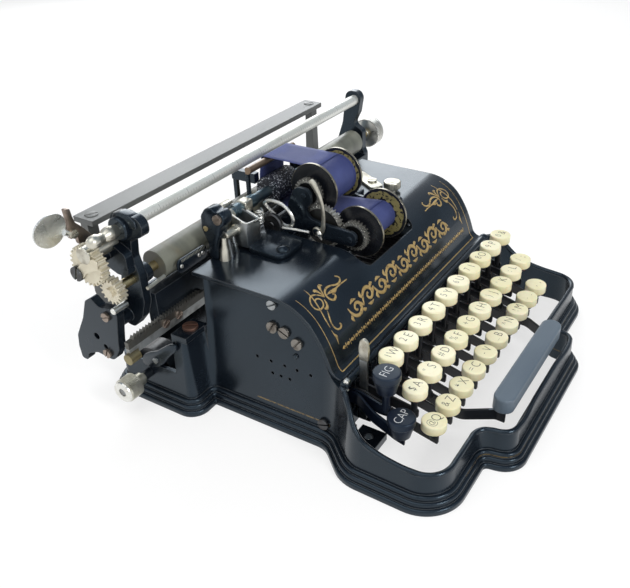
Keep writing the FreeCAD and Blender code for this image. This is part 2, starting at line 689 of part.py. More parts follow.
frontAngle = math.atan2(frontSpoolZ - idlerZ, frontSpoolY - idlerY)
rearAngle = math.atan2(rearSpoolZ - idlerZ, rearSpoolY - idlerY)
idlerStep = 2 * math.pi / idlerTeeth
rearOffset = (rearAngle - frontAngle) / idlerStep
rearShift = (rearOffset - round(rearOffset)) * idlerTeeth / spoolTeeth * 2 * math.pi / spoolTeeth
rearPhase = meshPhase(rearSpoolY, rearSpoolZ, idlerY, idlerZ, spoolTeeth)
save("ribbon_spool_front", spool(frontSpoolY, frontSpoolZ, frontPack,
                                 meshPhase(frontSpoolY, frontSpoolZ, idlerY, idlerZ, spoolTeeth)))
save("ribbon_spool_rear", spool(rearSpoolY, rearSpoolZ, rearPack, rearPhase + rearShift))
save("ribbon_drive_gear", toothed(idlerY, idlerZ, *gearX, idlerPitch, idlerTeeth, frontAngle).cut(
    rodX(idlerY, idlerZ, gearX[0] - 1, gearX[1] + 1, axleRadius + running)))

ribbonLeverX = (armX[0] - 2.4, armX[0] - 0.4)
ribbonLever = plateX([
    (22.0, 94.6, 3), (29.5, 94.6, 3), (29.0, 101.5, 3), (23.6, 104.0, 3), (24.5, 118.0, 20), (32.0, 130.0, 3),
    (29.0, 134.0, 2), (25.5, 133.0, 3), (20.2, 117.0, 20), (20.0, 101.0, 3)], *ribbonLeverX)
save("ribbon_lever", ribbonLever.cut(rodX(idlerY, idlerZ, -40, -20, axleRadius + running)))


def ribbonStrip():
    """One strip from the rear pack over the guide, down behind the sleeve and to the front pack."""
    slack = ribbonThick / 2 + 0.3
    over = guideZ + guideRadius + slack
    behind = sleeveY + sleeveRadius + slack
    under = sleeveZ - sleeveRadius - ribbonThick / 2 - 1.0
    path = [(rearSpoolY, rearSpoolZ + rearPack + slack), (guideY + 2.9, over, 2.9), (behind, sleeveZ + 7.0, 8),
            (behind, under, 6), (rearSpoolY + 22.0, under, 12), (frontSpoolY, frontSpoolZ + frontPack + slack)]
    return plateX(band(path, ribbonThick)[::-1], -ribbonHalf, ribbonHalf)


save("ribbon", ribbonStrip())

# ---- carriage ----
bracketHalf = bracketThick / 2
leftFaces = (leftBracketX - bracketHalf, leftBracketX + bracketHalf)
rightFaces = (rightBracketX - bracketHalf, rightBracketX + bracketHalf)
endPlateX = (-145.0, -139.0)
earX = (leftFaces[0] - 6.0, leftFaces[0])
platenAxleRadius = 3.0
gearStubY, gearStubZ, gearStubRadius = 103.0, 111.0, 3.0
leverPinX, leverPinZ, leverPinRadius = -134.0, 113.5, 2.0
leverPlateY = (118.0, 120.5)
spacerY, spacerZ = 102.0, 67.0


def carriageFrame():
    left = plateX([
        (86.0, 79.0, 8), (90.0, 68.0, 6), (98.0, 58.5, 5), (107.0, 59.5, 5), (106.0, 74.0, 6), (97.5, 112.0, 5),
        (101.5, 128.0, 3), (101.5, 137.0, 6), (77.0, 137.0, 6), (77.0, 126.0, 5), (87.5, 122.0, 4),
        (89.0, 110.0, 5), (86.0, 98.0, 6)], *leftFaces)
    right = plateX([
        (84.0, 84.0, 3), (84.0, 60.0, 4), (110.0, 56.0, 8), (124.0, 56.0, 6), (124.0, 70.0, 6), (113.0, 84.0, 8),
        (105.0, 108.0, 5), (101.5, 135.0, 6), (87.0, 135.0, 6), (90.0, 118.0, 4), (95.0, 108.0, 4),
        (86.0, 103.0, 4), (86.0, 88.0, 2)], *rightFaces)
    ear = plateX([
        (88.0, 99.8, 3), (97.0, 99.8, 3), (110.0, 105.0, 5), (117.6, 109.0, 2), (117.6, 118.0, 3),
        (98.0, 119.0, 4), (88.0, 114.0, 4)], *earX)
    stub = rodX(gearStubY, gearStubZ, -154.0, earX[0] + 1, gearStubRadius)
    pin = rodY(leverPinX, leverPinZ, leverPlateY[0] - 2.0, leverPlateY[1] + 1.5, leverPinRadius)
    axleHole = rodX(platenY, platenZ, -160, 160, platenAxleRadius + running)
    scaleHole = rodX(scaleRodY, scaleRodZ, -160, 160, scaleRodRadius + fixedFit)
    leftEnd = fused(left, ear, stub, pin).cut([axleHole, scaleHole])
    rightEnd = right.cut([axleHole, scaleHole])
    beam = box(leftFaces[1], rightFaces[0], *beamY, *beamZ)
    rod = rodX(rearRodY, rearRodZ, endPlateX[1], rightFaces[0], rearRodRadius)
    spacer = rodX(spacerY, spacerZ, endPlateX[1], leftFaces[0], 4.5)
    return leftEnd, rightEnd, beam, rod, spacer


save("carriage_frame", *carriageFrame())


def carriageEndPlate():
    plate = plateX([
        (96.1, 75.0, 3), (100.0, 54.5, 2), (100.7, 48.0, 4), (107.0, 37.5, 6), (121.4, 39.1, 5), (131.2, 34.9, 3),
        (133.4, 28.6, 2), (138.4, 28.6, 2), (139.1, 38.0, 6), (137.5, 47.5, 6), (128.2, 63.3, 8), (122.5, 77.5, 4),
        (117.2, 81.3, 2), (111.0, 76.4, 3), (98.3, 78.5, 2)], *endPlateX)
    holes = [rodX(119.0, 52.5, -150, -130, 2.4), rodX(112.6, 46.5, -150, -130, 1.8)]
    return plate.cut(holes)


save("carriage_end_plate", carriageEndPlate())

rackX = (-155.0, -86.0)
rackZ = (57.0, 67.0)
rackPitch = 2.54
rackToothHeight = 2.0


def carriageRack():
    teeth = int((rackX[1] - rackX[0] - 6) / rackPitch)
    points = [(rackX[0], rackZ[0]), (rackX[1], rackZ[0]), (rackX[1], rackZ[1])]
    for i in range(teeth, 0, -1):
        x = rackX[0] + 3 + i * rackPitch
        points += [(x, rackZ[1]), (x, rackZ[1] + rackToothHeight), (x - 0.5 * rackPitch, rackZ[1])]
    points.append((rackX[0], rackZ[1]))
    plate = plateY(points, beamY[0] - 3.0, beamY[0])
    collar = rodX(79.5, 56.0, rackX[0] - 2.0, rackX[0] + 6.0, 3.5)
    return fused(plate, collar)


save("carriage_rack", carriageRack())

save("scale_rod", turnedX(scaleRodY, scaleRodZ, [
    (-155, 1.5), (-153.5, 3.0), (-149, 3.6), (-147.5, 2.2), (-143, 2.2), (-142, 3.8), (-138, 3.8), (-136.5, 2.6),
    (-133, 2.6), (-132, scaleRodRadius), (rightFaces[1] + 1, scaleRodRadius), (rightFaces[1] + 3, 2.0)]))

restTop = 121.0
restY = (126.0, 142.5)
restX = (-124.0, 134.0)


def paperRest():
    bar = box(*restX, *restY, restTop - 3.5, restTop)
    hole = rodX(rearRodY, rearRodZ, -160, 160, rearRodRadius + fixedFit)
    pieces = []
    for x0 in (restX[0], restX[1] - 8):
        post = plateX([
            (112.5, 57.0, 4), (132.0, 56.0, 4), (138.0, 68.0, 4), (137.0, restTop - 3.5), (131.0, restTop - 3.5),
            (130.0, 76.0, 8), (112.5, 68.0, 4)], x0, x0 + 8)
        pieces.append(post.cut(hole))
    return fused(bar, *pieces)


save("paper_rest", paperRest())

pinionX = (-149.0, -143.0)
ratchetX = (-153.0, -147.0)
pinionTeeth, ratchetTeeth = 15, 24
gearDistance = math.dist((platenY, platenZ), (gearStubY, gearStubZ))
pinionPitch = gearDistance * pinionTeeth / (pinionTeeth + ratchetTeeth)
gearAngle = math.atan2(gearStubZ - platenZ, gearStubY - platenY)
knobX = (149.0, 165.0)
knobRadius = 12.0

save("platen", rodX(platenY, platenZ, platenLeft, platenRight, platenRadius).cut(
    rodX(platenY, platenZ, platenLeft - 1, platenRight + 1, platenAxleRadius + fixedFit)))


def platenAxle():
    axle = rodX(platenY, platenZ, pinionX[0] - 2.0, knobX[1], platenAxleRadius)
    pinion = toothed(platenY, platenZ, *pinionX, pinionPitch, pinionTeeth, gearAngle)
    knob = turnedX(platenY, platenZ, [
        (knobX[0], 6.0), (knobX[0] + 2, knobRadius), (knobX[1] - 5, knobRadius), (knobX[1] - 4, knobRadius - 1.5),
        (knobX[1] - 2.5, 6.5), (knobX[1], 5.5)])
    return fused(axle, pinion, knob)


save("platen_axle", platenAxle())
save("line_space_gear", toothed(gearStubY, gearStubZ, *ratchetX, gearDistance - pinionPitch, ratchetTeeth,
                                meshPhase(gearStubY, gearStubZ, platenY, platenZ, ratchetTeeth)).cut(
    rodX(gearStubY, gearStubZ, -160, -140, gearStubRadius + running)))

lineSpaceLever = plateY([
    (-137.5, 110.5, 3), (-130.5, 110.5, 3), (-130.5, 117.0, 3), (-142.0, 137.0, 4), (-150.0, 140.5, 5),
    (-166.0, 140.5, 7), (-172.0, 130.5, 6), (-162.0, 120.5, 7), (-149.0, 126.0, 7)], *leverPlateY)
save("line_space_lever", lineSpaceLever.cut(rodY(leverPinX, leverPinZ, 110, 130, leverPinRadius + running)))

# ---- spring drum ----
drumRadius = 15.5
drumX = (-skirtHalfWidth + 6.5, -skirtHalfWidth + 20.5)
windKnobX = (-skirtHalfWidth - 22.5, -skirtHalfWidth - 6.5)
windKnobRadius = 8.0
save("spring_drum", turnedX(drumY, drumZ, [
    (windKnobX[0], windKnobRadius - 1), (windKnobX[0] + 1, windKnobRadius), (windKnobX[0] + 10, windKnobRadius),
    (windKnobX[0] + 11, 4.5), (windKnobX[1], 4.5), (windKnobX[1], drumShaftRadius), (drumX[0], drumShaftRadius),
    (drumX[0], drumRadius), (drumX[1], drumRadius), (drumX[1], drumShaftRadius), (-102.5, drumShaftRadius)]))
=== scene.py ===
import bpy
import bmesh
from bmesh import ops
from math import cos, pi, radians, sin
from mathutils import Matrix, Vector
from mathutils.bvhtree import BVHTree


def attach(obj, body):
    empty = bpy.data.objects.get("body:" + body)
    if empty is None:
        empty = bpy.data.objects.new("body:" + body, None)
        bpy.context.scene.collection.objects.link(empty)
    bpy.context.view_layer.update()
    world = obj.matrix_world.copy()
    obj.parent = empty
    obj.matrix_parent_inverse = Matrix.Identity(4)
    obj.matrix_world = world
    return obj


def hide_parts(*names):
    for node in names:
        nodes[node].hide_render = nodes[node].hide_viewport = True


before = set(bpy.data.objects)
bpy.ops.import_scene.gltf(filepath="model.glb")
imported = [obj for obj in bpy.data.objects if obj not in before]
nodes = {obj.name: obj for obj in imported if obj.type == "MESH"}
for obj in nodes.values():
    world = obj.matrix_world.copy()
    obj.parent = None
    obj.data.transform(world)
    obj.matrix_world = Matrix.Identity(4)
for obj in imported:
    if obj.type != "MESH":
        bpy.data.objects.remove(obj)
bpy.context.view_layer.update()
mm = 0.001
print("frame loaded:", len(nodes), "nodes")

# the camera stands at place, in metres, and looks along the azimuth and down by the elevation
view = {
    "place": (-0.3924, -0.2127, 0.3179),
    "azimuth": -57.621,
    "elevation": 34.355,
    "roll": -1.367,
    "sensor": 36.0,
    "lens": 42.6,
    "shift": (-0.0262, 0.0553),
}


def addObject(name, data):
    thing = bpy.data.objects.new(name, data)
    bpy.context.scene.collection.objects.link(thing)
    return thing


def makeCamera():
    data = bpy.data.cameras.new("camera")
    eye = addObject("camera", data)
    turn, lift, roll = radians(view["azimuth"]), radians(view["elevation"]), radians(view["roll"])
    back = Vector((sin(turn) * cos(lift), -cos(turn) * cos(lift), sin(lift)))
    right = (-back).cross(Vector((0, 0, 1))).normalized()
    up = right.cross(-back)
    rolledRight = cos(roll) * right + sin(roll) * up
    rolledUp = cos(roll) * up - sin(roll) * right
    axes = Matrix((rolledRight, rolledUp, back)).transposed().to_4x4()
    eye.matrix_world = Matrix.Translation(view["place"]) @ axes
    data.sensor_width = view["sensor"]
    data.lens = view["lens"]
    data.shift_x, data.shift_y = view["shift"]
    data.clip_start = 0.01
    bpy.context.scene.camera = eye


makeCamera()
print("camera placed")


finishes = {}


def plug(tree, place, value):
    if isinstance(value, Socket):
        tree.links.new(value.output, place)
    elif isinstance(value, (tuple, list)):
        place.default_value = (*value, 1.0) if len(place.default_value) == 4 and len(value) == 3 else value
    else:
        place.default_value = value


def makeNode(tree, kind, settings=None, values=None, output=0, every=False):
    node = tree.nodes.new("ShaderNode" + kind)
    for name, value in (settings or {}).items():
        setattr(node, name, value)
    for name, value in (values or {}).items():
        plug(tree, node.inputs[name], value)
    if every:
        return [Socket(tree, out) for out in node.outputs]
    return Socket(tree, node.outputs[output])


def mixed(tree, factor, first, second):
    return makeNode(tree, "Mix", {"data_type": "RGBA"}, {0: factor, 6: first, 7: second}, 2)


def rays(tree, *kinds):  # one for rays of these kinds, nought for the rest
    path = tree.nodes.new("ShaderNodeLightPath")
    found = [Socket(tree, path.outputs["Is " + kind + " Ray"]) for kind in kinds]
    share = found[0]
    for other in found[1:]:
        share = share.either(other)
    return share


# a shader socket that takes part in sums
class Socket:
    def __init__(self, tree, output):
        self.tree = tree
        self.output = output

    def maths(self, operation, *others, swapped=False):
        values = [self, *others]
        if swapped:
            values.reverse()
        return makeNode(self.tree, "Math", {"operation": operation}, dict(enumerate(values)))

    def __rsub__(self, other):
        return self.maths("SUBTRACT", other, swapped=True)

    def sine(self):
        return self.maths("SINE")

    def fade(self, start, end):  # nought at start, one at end, smooth between
        limits = {"Value": self, "From Min": start, "From Max": end}
        return makeNode(self.tree, "MapRange", {"interpolation_type": "SMOOTHSTEP"}, limits)


def operator(operation):
    return lambda first, second: first.maths(operation, second)


for name, operation in {
    "__add__": "ADD", "__radd__": "ADD", "__sub__": "SUBTRACT", "__mul__": "MULTIPLY", "__rmul__": "MULTIPLY",
    "__truediv__": "DIVIDE", "over": "GREATER_THAN", "under": "LESS_THAN", "either": "MAXIMUM",
    "most": "MINIMUM",
}.items():
    setattr(Socket, name, operator(operation))


# one material: a Principled shader and the patterns that feed it, with places in millimetres
# with an edge width, its normal is rounded at edges and sharp is near one on them
class Finish:
    def __init__(self, name, edge=None, samples=4):
        self.name = name
        self.material = bpy.data.materials.new(name)
        self.material.use_nodes = True
        self.tree = self.material.node_tree
        self.tree.nodes.clear()
        self.shader = self.tree.nodes.new("ShaderNodeBsdfPrincipled")
        self.last = self.tree.nodes.new("ShaderNodeOutputMaterial")
        self.tree.links.new(self.shader.outputs[0], self.last.inputs[0])
        self.place = self.node("TexCoord", output="Object")
        parts = self.node("SeparateXYZ", values={"Vector": self.place}, every=True)
        self.x, self.y, self.z = [part / mm for part in parts]
        self.rounded = None
        if edge:
            self.rounded = self.node("Bevel", {"samples": samples}, {"Radius": edge * mm})
            flat = self.node("NewGeometry", output="Normal")
            lean = self.node("VectorMath", {"operation": "DOT_PRODUCT"}, {0: self.rounded, 1: flat}, "Value")
            self.sharp = (1 - lean).fade(0.02, 0.22)

    def node(self, *words, **named):
        return makeNode(self.tree, *words, **named)

    def noise(self, scale, detail=3.0, stretch=None, rough=0.5):
        at = self.place
        if stretch:
            at = self.node("Mapping", values={"Vector": at, "Scale": stretch})
        values = {"Vector": at, "Scale": scale, "Detail": detail, "Roughness": rough}
        return self.node("TexNoise", values=values)

    def cloud(self, scale):
        return self.noise(scale).fade(0.4, 0.7)

    def cells(self, scale):
        return self.node("TexVoronoi", values={"Vector": self.place, "Scale": scale})

    def mix(self, factor, first, second):
        return mixed(self.tree, factor, first, second)

    def black(self, dusty):
        return self.mix(dusty, japan["colour"], japan["dust"])

    # one inside the box, nought outside it
    def inside(self, x=None, y=None, z=None):
        mask = None
        for axis, limits in ((self.x, x), (self.y, y), (self.z, z)):
            if limits:
                part = axis.over(limits[0]) * axis.under(limits[1])
                mask = part if mask is None else mask * part
        return mask

    # distance from a line along X
    def reach(self, y, z):
        across, rise = self.y - y, self.z - z
        return (across * across + rise * rise).maths("SQRT")

    # angle about a line along X
    def turn(self, y, z):
        return (self.z - z).maths("ARCTAN2", self.y - y)

    # height makes the bump, with its distance in millimetres and its strength
    def paint(self, colour, rough, height=None, distance=0.0, strength=1.0, **values):
        values.update(Base_Color=colour, Roughness=rough)
        if height:
            bump = {"Height": height, "Distance": distance * mm, "Strength": strength}
            if self.rounded:
                bump["Normal"] = self.rounded
            values["Normal"] = self.node("Bump", values=bump)
        for name, value in values.items():
            plug(self.tree, self.shader.inputs[name.replace("_", " ")], value)
        finishes[self.name] = self.material


# gloss black enamel with a blue cast, dusty in patches, and lighter on the sharpest edges, partly worn through
# to the iron and partly a painted highlight
japan = {"colour": (0.0036, 0.0054, 0.0086), "dust": (0.013, 0.019, 0.027), "bareIronAndHighlight": (0.120, 0.120, 0.118),
    "edge": 0.9, "shine": 0.5, "tint": (0.62, 0.82, 1.0, 1.0)}
shine = {"Specular_IOR_Level": japan["shine"], "Specular_Tint": japan["tint"]}
gold = {"colour": (0.41, 0.27, 0.09), "light": (0.60, 0.43, 0.19), "dark": (0.05, 0.036, 0.02), "rough": 0.45}


def blackEnamel(name, gloss=0.2, edge=1.0, dusty=0.35, lines=()):  # lines are boxes that hold worn gold
    f = Finish(name, japan["edge"] * edge)
    patches = f.noise(24, 4).fade(0.40, 0.72)
    # sharp edges turn towards an iron grey: real wear in part, and in part a painted highlight along the edges
    worn = (f.sharp * 0.55 + f.noise(420, 3) - 0.2).fade(0.52, 0.72) * f.sharp
    colour = f.black(patches * dusty)
    colour = f.mix(worn * 0.7, colour, japan["bareIronAndHighlight"])
    rough = patches * 0.08 + f.noise(1500, 2) * 0.05 + worn * 0.25 + gloss
    metal = worn * 0.5
    for limits in lines:
        line = f.inside(*limits) * (1 - f.noise(420, 4).fade(0.50, 0.60) * 0.8)
        colour = f.mix(line * 0.45, colour, gold["colour"])
        metal = metal.either(line * 0.3)
    skin = f.noise(240, 2) * 0.6 + f.noise(55, 2)
    f.paint(colour, rough, skin, 0.05, 0.35, Metallic=metal, **shine)


def goldLeaf(name):
    f = Finish(name)
    thin = f.noise(520, 4).fade(0.53, 0.66)
    shade = f.mix(f.noise(160, 2), gold["colour"], gold["light"])
    f.paint(f.mix(thin * 0.75, shade, gold["dark"]), gold["rough"] + thin * 0.2, f.noise(1200, 2), 0.02,
        Metallic=0.55 - thin * 0.4)


# bright metals: tarnish gathers in soft patches, and rubbed edges stay bright
# each has its colour, its tarnish, how far the tarnish goes, and its roughness
metals = {
    "nickel": ((0.78, 0.78, 0.74), (0.45, 0.42, 0.34), 0.45, 0.24),
    "nickelDull": ((0.60, 0.58, 0.50), (0.23, 0.20, 0.15), 0.7, 0.30),
    "steel": ((0.34, 0.36, 0.37), (0.13, 0.115, 0.095), 0.6, 0.30),
    "blueSteel": ((0.13, 0.19, 0.225), (0.20, 0.20, 0.18), 0.5, 0.34),
    "brightNickel": ((0.80, 0.82, 0.82), (0.58, 0.58, 0.54), 0.4, 0.22),
    "brass": ((0.60, 0.49, 0.27), (0.33, 0.25, 0.13), 0.6, 0.30),
    "bronze": ((0.31, 0.255, 0.215), (0.13, 0.10, 0.08), 0.7, 0.34),
    "redBronze": ((0.25, 0.145, 0.11), (0.12, 0.065, 0.05), 0.6, 0.42),
    "wornSteel": ((0.23, 0.215, 0.195), (0.10, 0.082, 0.068), 0.8, 0.30),
    "darkSteel": ((0.095, 0.10, 0.105), (0.055, 0.045, 0.04), 0.6, 0.34),
}


def brightMetal(name):
    clean, tarnish, amount, rough = metals[name]
    f = Finish(name, 0.35, 3)
    cloud = f.noise(140, 4).fade(0.45, 0.72) * amount
    pits = f.noise(1100, 3).fade(0.62, 0.74)
    dull = (cloud + pits * 0.5).most(1.0) * (1 - f.sharp * 0.6)
    f.paint(f.mix(dull, clean, tarnish), rough + dull * 0.2 + f.noise(60, 2) * 0.06,
        f.noise(900, 3, (1, 6, 6)), 0.018, 0.5, Metallic=1 - pits * 0.35)


skirtStripes = [((-140, 140), (-29, 26), (14.4, 15.4)), ((-98, 98), (-140, -104), (7.6, 8.2))]
blackEnamel("caseEnamel", 0.18, lines=skirtStripes)
blackEnamel("coverEnamel", 0.17, 1.3, 0.5)
blackEnamel("enamel", 0.2)
goldLeaf("goldLeaf")
for kind in metals:
    brightMetal(kind)
print("shared finishes made:", len(finishes))


def cover(finish, *names):  # gives CAD nodes a finish
    for name in names:
        slots = nodes[name].data.materials
        slots.clear()
        slots.append(finishes[finish])


# makes a piece from a shape in millimetres, lets it ride, and hides the CAD nodes it stands in for
def makePiece(name, shape, finish, body, slot, hides=(), sharp=32):
    ops.remove_doubles(shape, verts=shape.verts, dist=0.003)
    ops.recalc_face_normals(shape, faces=shape.faces)
    ops.scale(shape, vec=(mm, mm, mm), verts=shape.verts)
    mesh = bpy.data.meshes.new(name)
    shape.to_mesh(mesh)
    shape.free()
    mesh.polygons.foreach_set("use_smooth", [True] * len(mesh.polygons))
    mesh.set_sharp_from_angle(angle=radians(sharp))
    mesh.materials.append(finishes[finish])
    piece = addObject(name, mesh)
    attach(piece, body)
    if hides:
        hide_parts(*hides)
    return piece


def joined(*shapes):
    whole = bmesh.new()
    for shape in shapes:
        part = bpy.data.meshes.new("part")
        shape.to_mesh(part)
        shape.free()
        whole.from_mesh(part)
        bpy.data.meshes.remove(part)
    return whole


def turnedBy(shape, matrix):
    ops.transform(shape, matrix=matrix, verts=shape.verts)
    return shape


def moved(shape, place=(0, 0, 0), direction=(1, 0, 0), roll=0.0):  # its X axis goes along direction
    aim = Vector(direction).to_track_quat("X", "Z").to_matrix().to_4x4()
    return turnedBy(shape, Matrix.Translation(place) @ aim @ Matrix.Rotation(roll, 4, "X"))


def turned(profile, steps=28):  # spun about X from pairs of place along it and radius
    shape = bmesh.new()
    line = [shape.verts.new((along, 0, radius)) for along, radius in profile]
    edges = [shape.edges.new(pair) for pair in zip(line, line[1:])]
    ops.spin(shape, geom=line + edges, cent=(0, 0, 0), axis=(1, 0, 0), angle=2 * pi, steps=steps,
        use_merge=True)
    return shape


def knurl(shape, radius, steps, depth):  # presses every second line of a turned wall inwards
    for corner in shape.verts:
        out = Vector((0, corner.co.y, corner.co.z))
        if out.length > radius - 0.05:
            place = round(Vector((0, 1)).angle_signed(Vector((out.y, out.z)), 0.0) / (2 * pi) * steps)
            if place % 2:
                corner.co -= out.normalized() * depth
    return shape


def newParts(grown, kind):
    return [part for part in grown["geom"] if isinstance(part, kind)]


def pulled(shape, faces, by):  # extrudes the faces and gives back their moved copies
    grown = ops.extrude_face_region(shape, geom=faces)
    ops.translate(shape, vec=by, verts=newParts(grown, bmesh.types.BMVert))
    return newParts(grown, bmesh.types.BMFace)


def cutAcross(shape, *places):  # by planes across X
    for x in places:
        whole = shape.verts[:] + shape.edges[:] + shape.faces[:]
        ops.bisect_plane(shape, geom=whole, plane_co=(x, 0, 0), plane_no=(1, 0, 0))


def edgesWhere(shape, test):
    return [side for side in shape.edges if all(test(end.co) for end in side.verts)]


def sharpEdges(shape):
    return [side for side in shape.edges if side.calc_face_angle(0) > 0.9]


def bevelled(shape, edges, width, segments=2):
    ops.bevel(shape, geom=edges, offset=width, offset_type="OFFSET", affect="EDGES", segments=segments,
        profile=0.5, material=-1, clamp_overlap=True)


def plate(points, thick, corner=0.0, edge=0.25):  # an outline in the YZ plane, made thick along X
    shape = bmesh.new()
    shape.faces.new([shape.verts.new((0, y, z)) for y, z in points])
    if corner:
        ops.bevel(shape, geom=shape.verts[:], offset=corner, offset_type="OFFSET", affect="VERTICES",
            segments=4, profile=0.5, material=-1, clamp_overlap=True)
    pulled(shape, shape.faces[:], (thick, 0, 0))
    if edge:
        bevelled(shape, sharpEdges(shape), edge)
    return shape


def slottedHead(radius, height, slot=1.1, depth=0.9, crown=0.9):  # stands on the YZ plane and faces +X
    shape = bmesh.new()
    ops.create_circle(shape, cap_ends=True, segments=28, radius=radius)
    cutAcross(shape, -slot / 2, slot / 2)
    tops = pulled(shape, shape.faces[:], (0, 0, height - depth))
    pulled(shape, [face for face in tops if abs(face.calc_center_median().x) > slot / 2], (0, 0, depth))
    rim = edgesWhere(shape, lambda at: at.z > height - 0.01 and at.xy.length > radius - 0.01)
    bevelled(shape, rim, crown, 3)
    ops.rotate(shape, cent=(0, 0, 0), matrix=Matrix.Rotation(pi / 2, 3, "Y"), verts=shape.verts)
    return shape


def curveShape(curve):
    thing = bpy.data.objects.new("curve", curve)
    mesh = bpy.data.meshes.new_from_object(thing)
    shape = bmesh.new()
    shape.from_mesh(mesh)
    bpy.data.objects.remove(thing)
    bpy.data.meshes.remove(mesh)
    return shape


def bentRod(places, radius=1.0, sides=2, smooth=5):  # places may carry a fourth number, a swelling
    curve = bpy.data.curves.new("rod", "CURVE")
    curve.dimensions = "3D"
    curve.bevel_depth = radius
    curve.bevel_resolution = sides
    curve.use_fill_caps = True
    line = curve.splines.new("BEZIER")
    line.bezier_points.add(len(places) - 1)
    line.resolution_u = smooth
    for point, place in zip(line.bezier_points, places):
        point.co = place[:3]
        point.handle_left_type = point.handle_right_type = "AUTO"
        point.radius = place[3] if len(place) > 3 else 1.0
    shape = curveShape(curve)
    ops.remove_doubles(shape, verts=shape.verts, dist=0.002)
    return shape


def letters(words, size, place=(0, 0, 0), narrow=1.0, thick=0.03):
    curve = bpy.data.curves.new("letters", "FONT")
    curve.body = words
    curve.size = size
    curve.align_x = "CENTER"
    curve.align_y = "CENTER"
    curve.resolution_u = 3
    curve.offset = -0.017 * size
    curve.extrude = thick / 2
    shape = curveShape(curve)
    ops.scale(shape, vec=(narrow, 1, 1), verts=shape.verts)
    ops.translate(shape, vec=place, verts=shape.verts)
    return shape


def laidFlat(shape, height):  # an outline of x and y lies at a height
    return turnedBy(shape, Matrix(((0, 1, 0, 0), (0, 0, 1, 0), (1, 0, 0, height), (0, 0, 0, 1))))


def stoodUp(shape, y):  # an outline of z and x stands across the machine
    return turnedBy(shape, Matrix(((0, 0, 1, 0), (1, 0, 0, y), (0, 1, 0, 0), (0, 0, 0, 1))))


def makeTurned(name, profile, steps, place, aim, *rest):  # rest: finish, body, slot and what it stands for
    return makePiece(name, moved(turned(profile, steps), place, aim), *rest)


# sizes are a slotted head's radius, height, slot, depth and crown
def makeScrew(name, sizes, place, aim, roll, *rest):
    return makePiece(name, moved(slottedHead(*sizes), place, aim, roll), *rest)


leftward, rightward, upward, forward = (-1, 0, 0), (1, 0, 0), (0, 0, 1), (0, -1, 0)

# keys: cream caps on flat black levers, each with a figure or sign at the left and a letter at the right
keys = {
    "firstX": -83.6, "pitch": 19.0, "rowY": (-57.0, -76.0, -91.6), "rowTop": (64.6, 52.9, 39.2),
    "capHeight": 6.2, "reach": 7.7, "cream": (0.70, 0.66, 0.415), "pale": (0.77, 0.735, 0.53),
    "stainAndSideShade": (0.50, 0.39, 0.17), "letter": (2.5, -0.3, 8.4), "sign": (-3.0, 0.3, 7.0),
}
keyNames = (
    ("w", "e", "r", "t", "y", "u", "i", "o", "p", "ampersand"),
    ("a", "s", "d", "f", "g", "h", "j", "k", "l", "semicolon"),
    ("q", "z", "x", "c", "v", "b", "n", "m", "stop", "comma"),
)
letterRows = ("WERTYUIOP&", "ASDFGHJKL;", "QZXCVBNM.,")
signRows = ("1234567890", "$\"#%+()':/", "@&*=-_^!.,")


def keyPlace(row, column):
    x = keys["firstX"] + keys["pitch"] * column - row * keys["pitch"] / 3
    return Vector((x, keys["rowY"][row], keys["rowTop"][row]))


def keyFinish():
    f = Finish("celluloid", 0.4, 3)
    cap = down = 0.0
    for y, top in zip(keys["rowY"], keys["rowTop"]):
        row = f.inside(y=(y - keys["reach"], y + keys["reach"]), z=(top - keys["capHeight"] - 0.1, top + 1))
        cap = row + cap
        down = row * (top - f.z) + down
    blotch = f.noise(210, 4).fade(0.52, 0.75)
    cream = f.mix(f.noise(26, 3).fade(0.35, 0.65), keys["cream"], keys["pale"])
    # cap sides turn darker and browner towards the bottom as painted shade, and the random blotches are real
    # discolouring
    cream = f.mix(down.fade(1.0, keys["capHeight"]) * 0.35 + blotch * 0.12, cream, keys["stainAndSideShade"])
    dark = f.mix(f.sharp * 0.5, (0.008, 0.009, 0.012), (0.05, 0.045, 0.04))
    f.paint(f.mix(cap, dark, cream), 0.30 + blotch * 0.12 + (1 - cap) * 0.05, f.noise(300, 2), 0.03, 0.4,
        Subsurface_Weight=0.12, Subsurface_Scale=0.002, Coat_Weight=cap * 0.25, Coat_Roughness=0.15)


def inkFinish(name, colour, worn):
    f = Finish(name)
    rubbed = f.noise(1300, 3).fade(0.52, 0.72)
    f.paint(f.mix(rubbed * 0.6, colour, worn), 0.45 + rubbed * 0.2)


keyFinish()
inkFinish("blackInk", (0.012, 0.012, 0.016), (0.20, 0.19, 0.15))
inkFinish("whiteInk", (0.62, 0.64, 0.66), (0.22, 0.25, 0.30))
for row, names in enumerate(keyNames):
    for column, name in enumerate(names):
        cover("celluloid", "key_" + name)
        marks = []
        for words, (right, up, size) in ((letterRows[row][column], keys["letter"]),
            (signRows[row][column], keys["sign"])):
            place = keyPlace(row, column) + Vector((right, up, 0.02))
            marks.append(letters(words, size, place, 0.85))
        makePiece("legend_" + name, joined(*marks), "blackInk", "key_" + name, "black_plastic")
print("key legends laid:", len(keyNames) * len(keyNames[0]))

shiftKeys = {
    "fig_key": {"words": "FIG", "cap": (-102.0, -64.0, 66.5), "size": 7.6},
    "cap_key": {"words": "CAP", "cap": (-109.0, -77.4, 45.0), "size": 7.4},
    "colour": (0.003, 0.005, 0.012), "light": (0.016, 0.022, 0.040),
}


def shiftKeyFinish():
    f = Finish("navyCaps", 0.8)
    cloud = f.cloud(60)
    f.paint(f.mix(cloud * 0.4 + f.sharp * 0.3, shiftKeys["colour"], shiftKeys["light"]),
        0.28 + cloud * 0.12, f.noise(500, 2), 0.02, 0.5, Specular_IOR_Level=0.38, Specular_Tint=japan["tint"])


shiftKeyFinish()
for name in ("fig_key", "cap_key"):
    kind = shiftKeys[name]
    cover("navyCaps", name)
    x, y, top = kind["cap"]
    shape = letters(kind["words"], kind["size"], (x, y, top + 0.02), 0.9)
    makePiece("legend_" + name, shape, "whiteInk", name, "black_plastic")

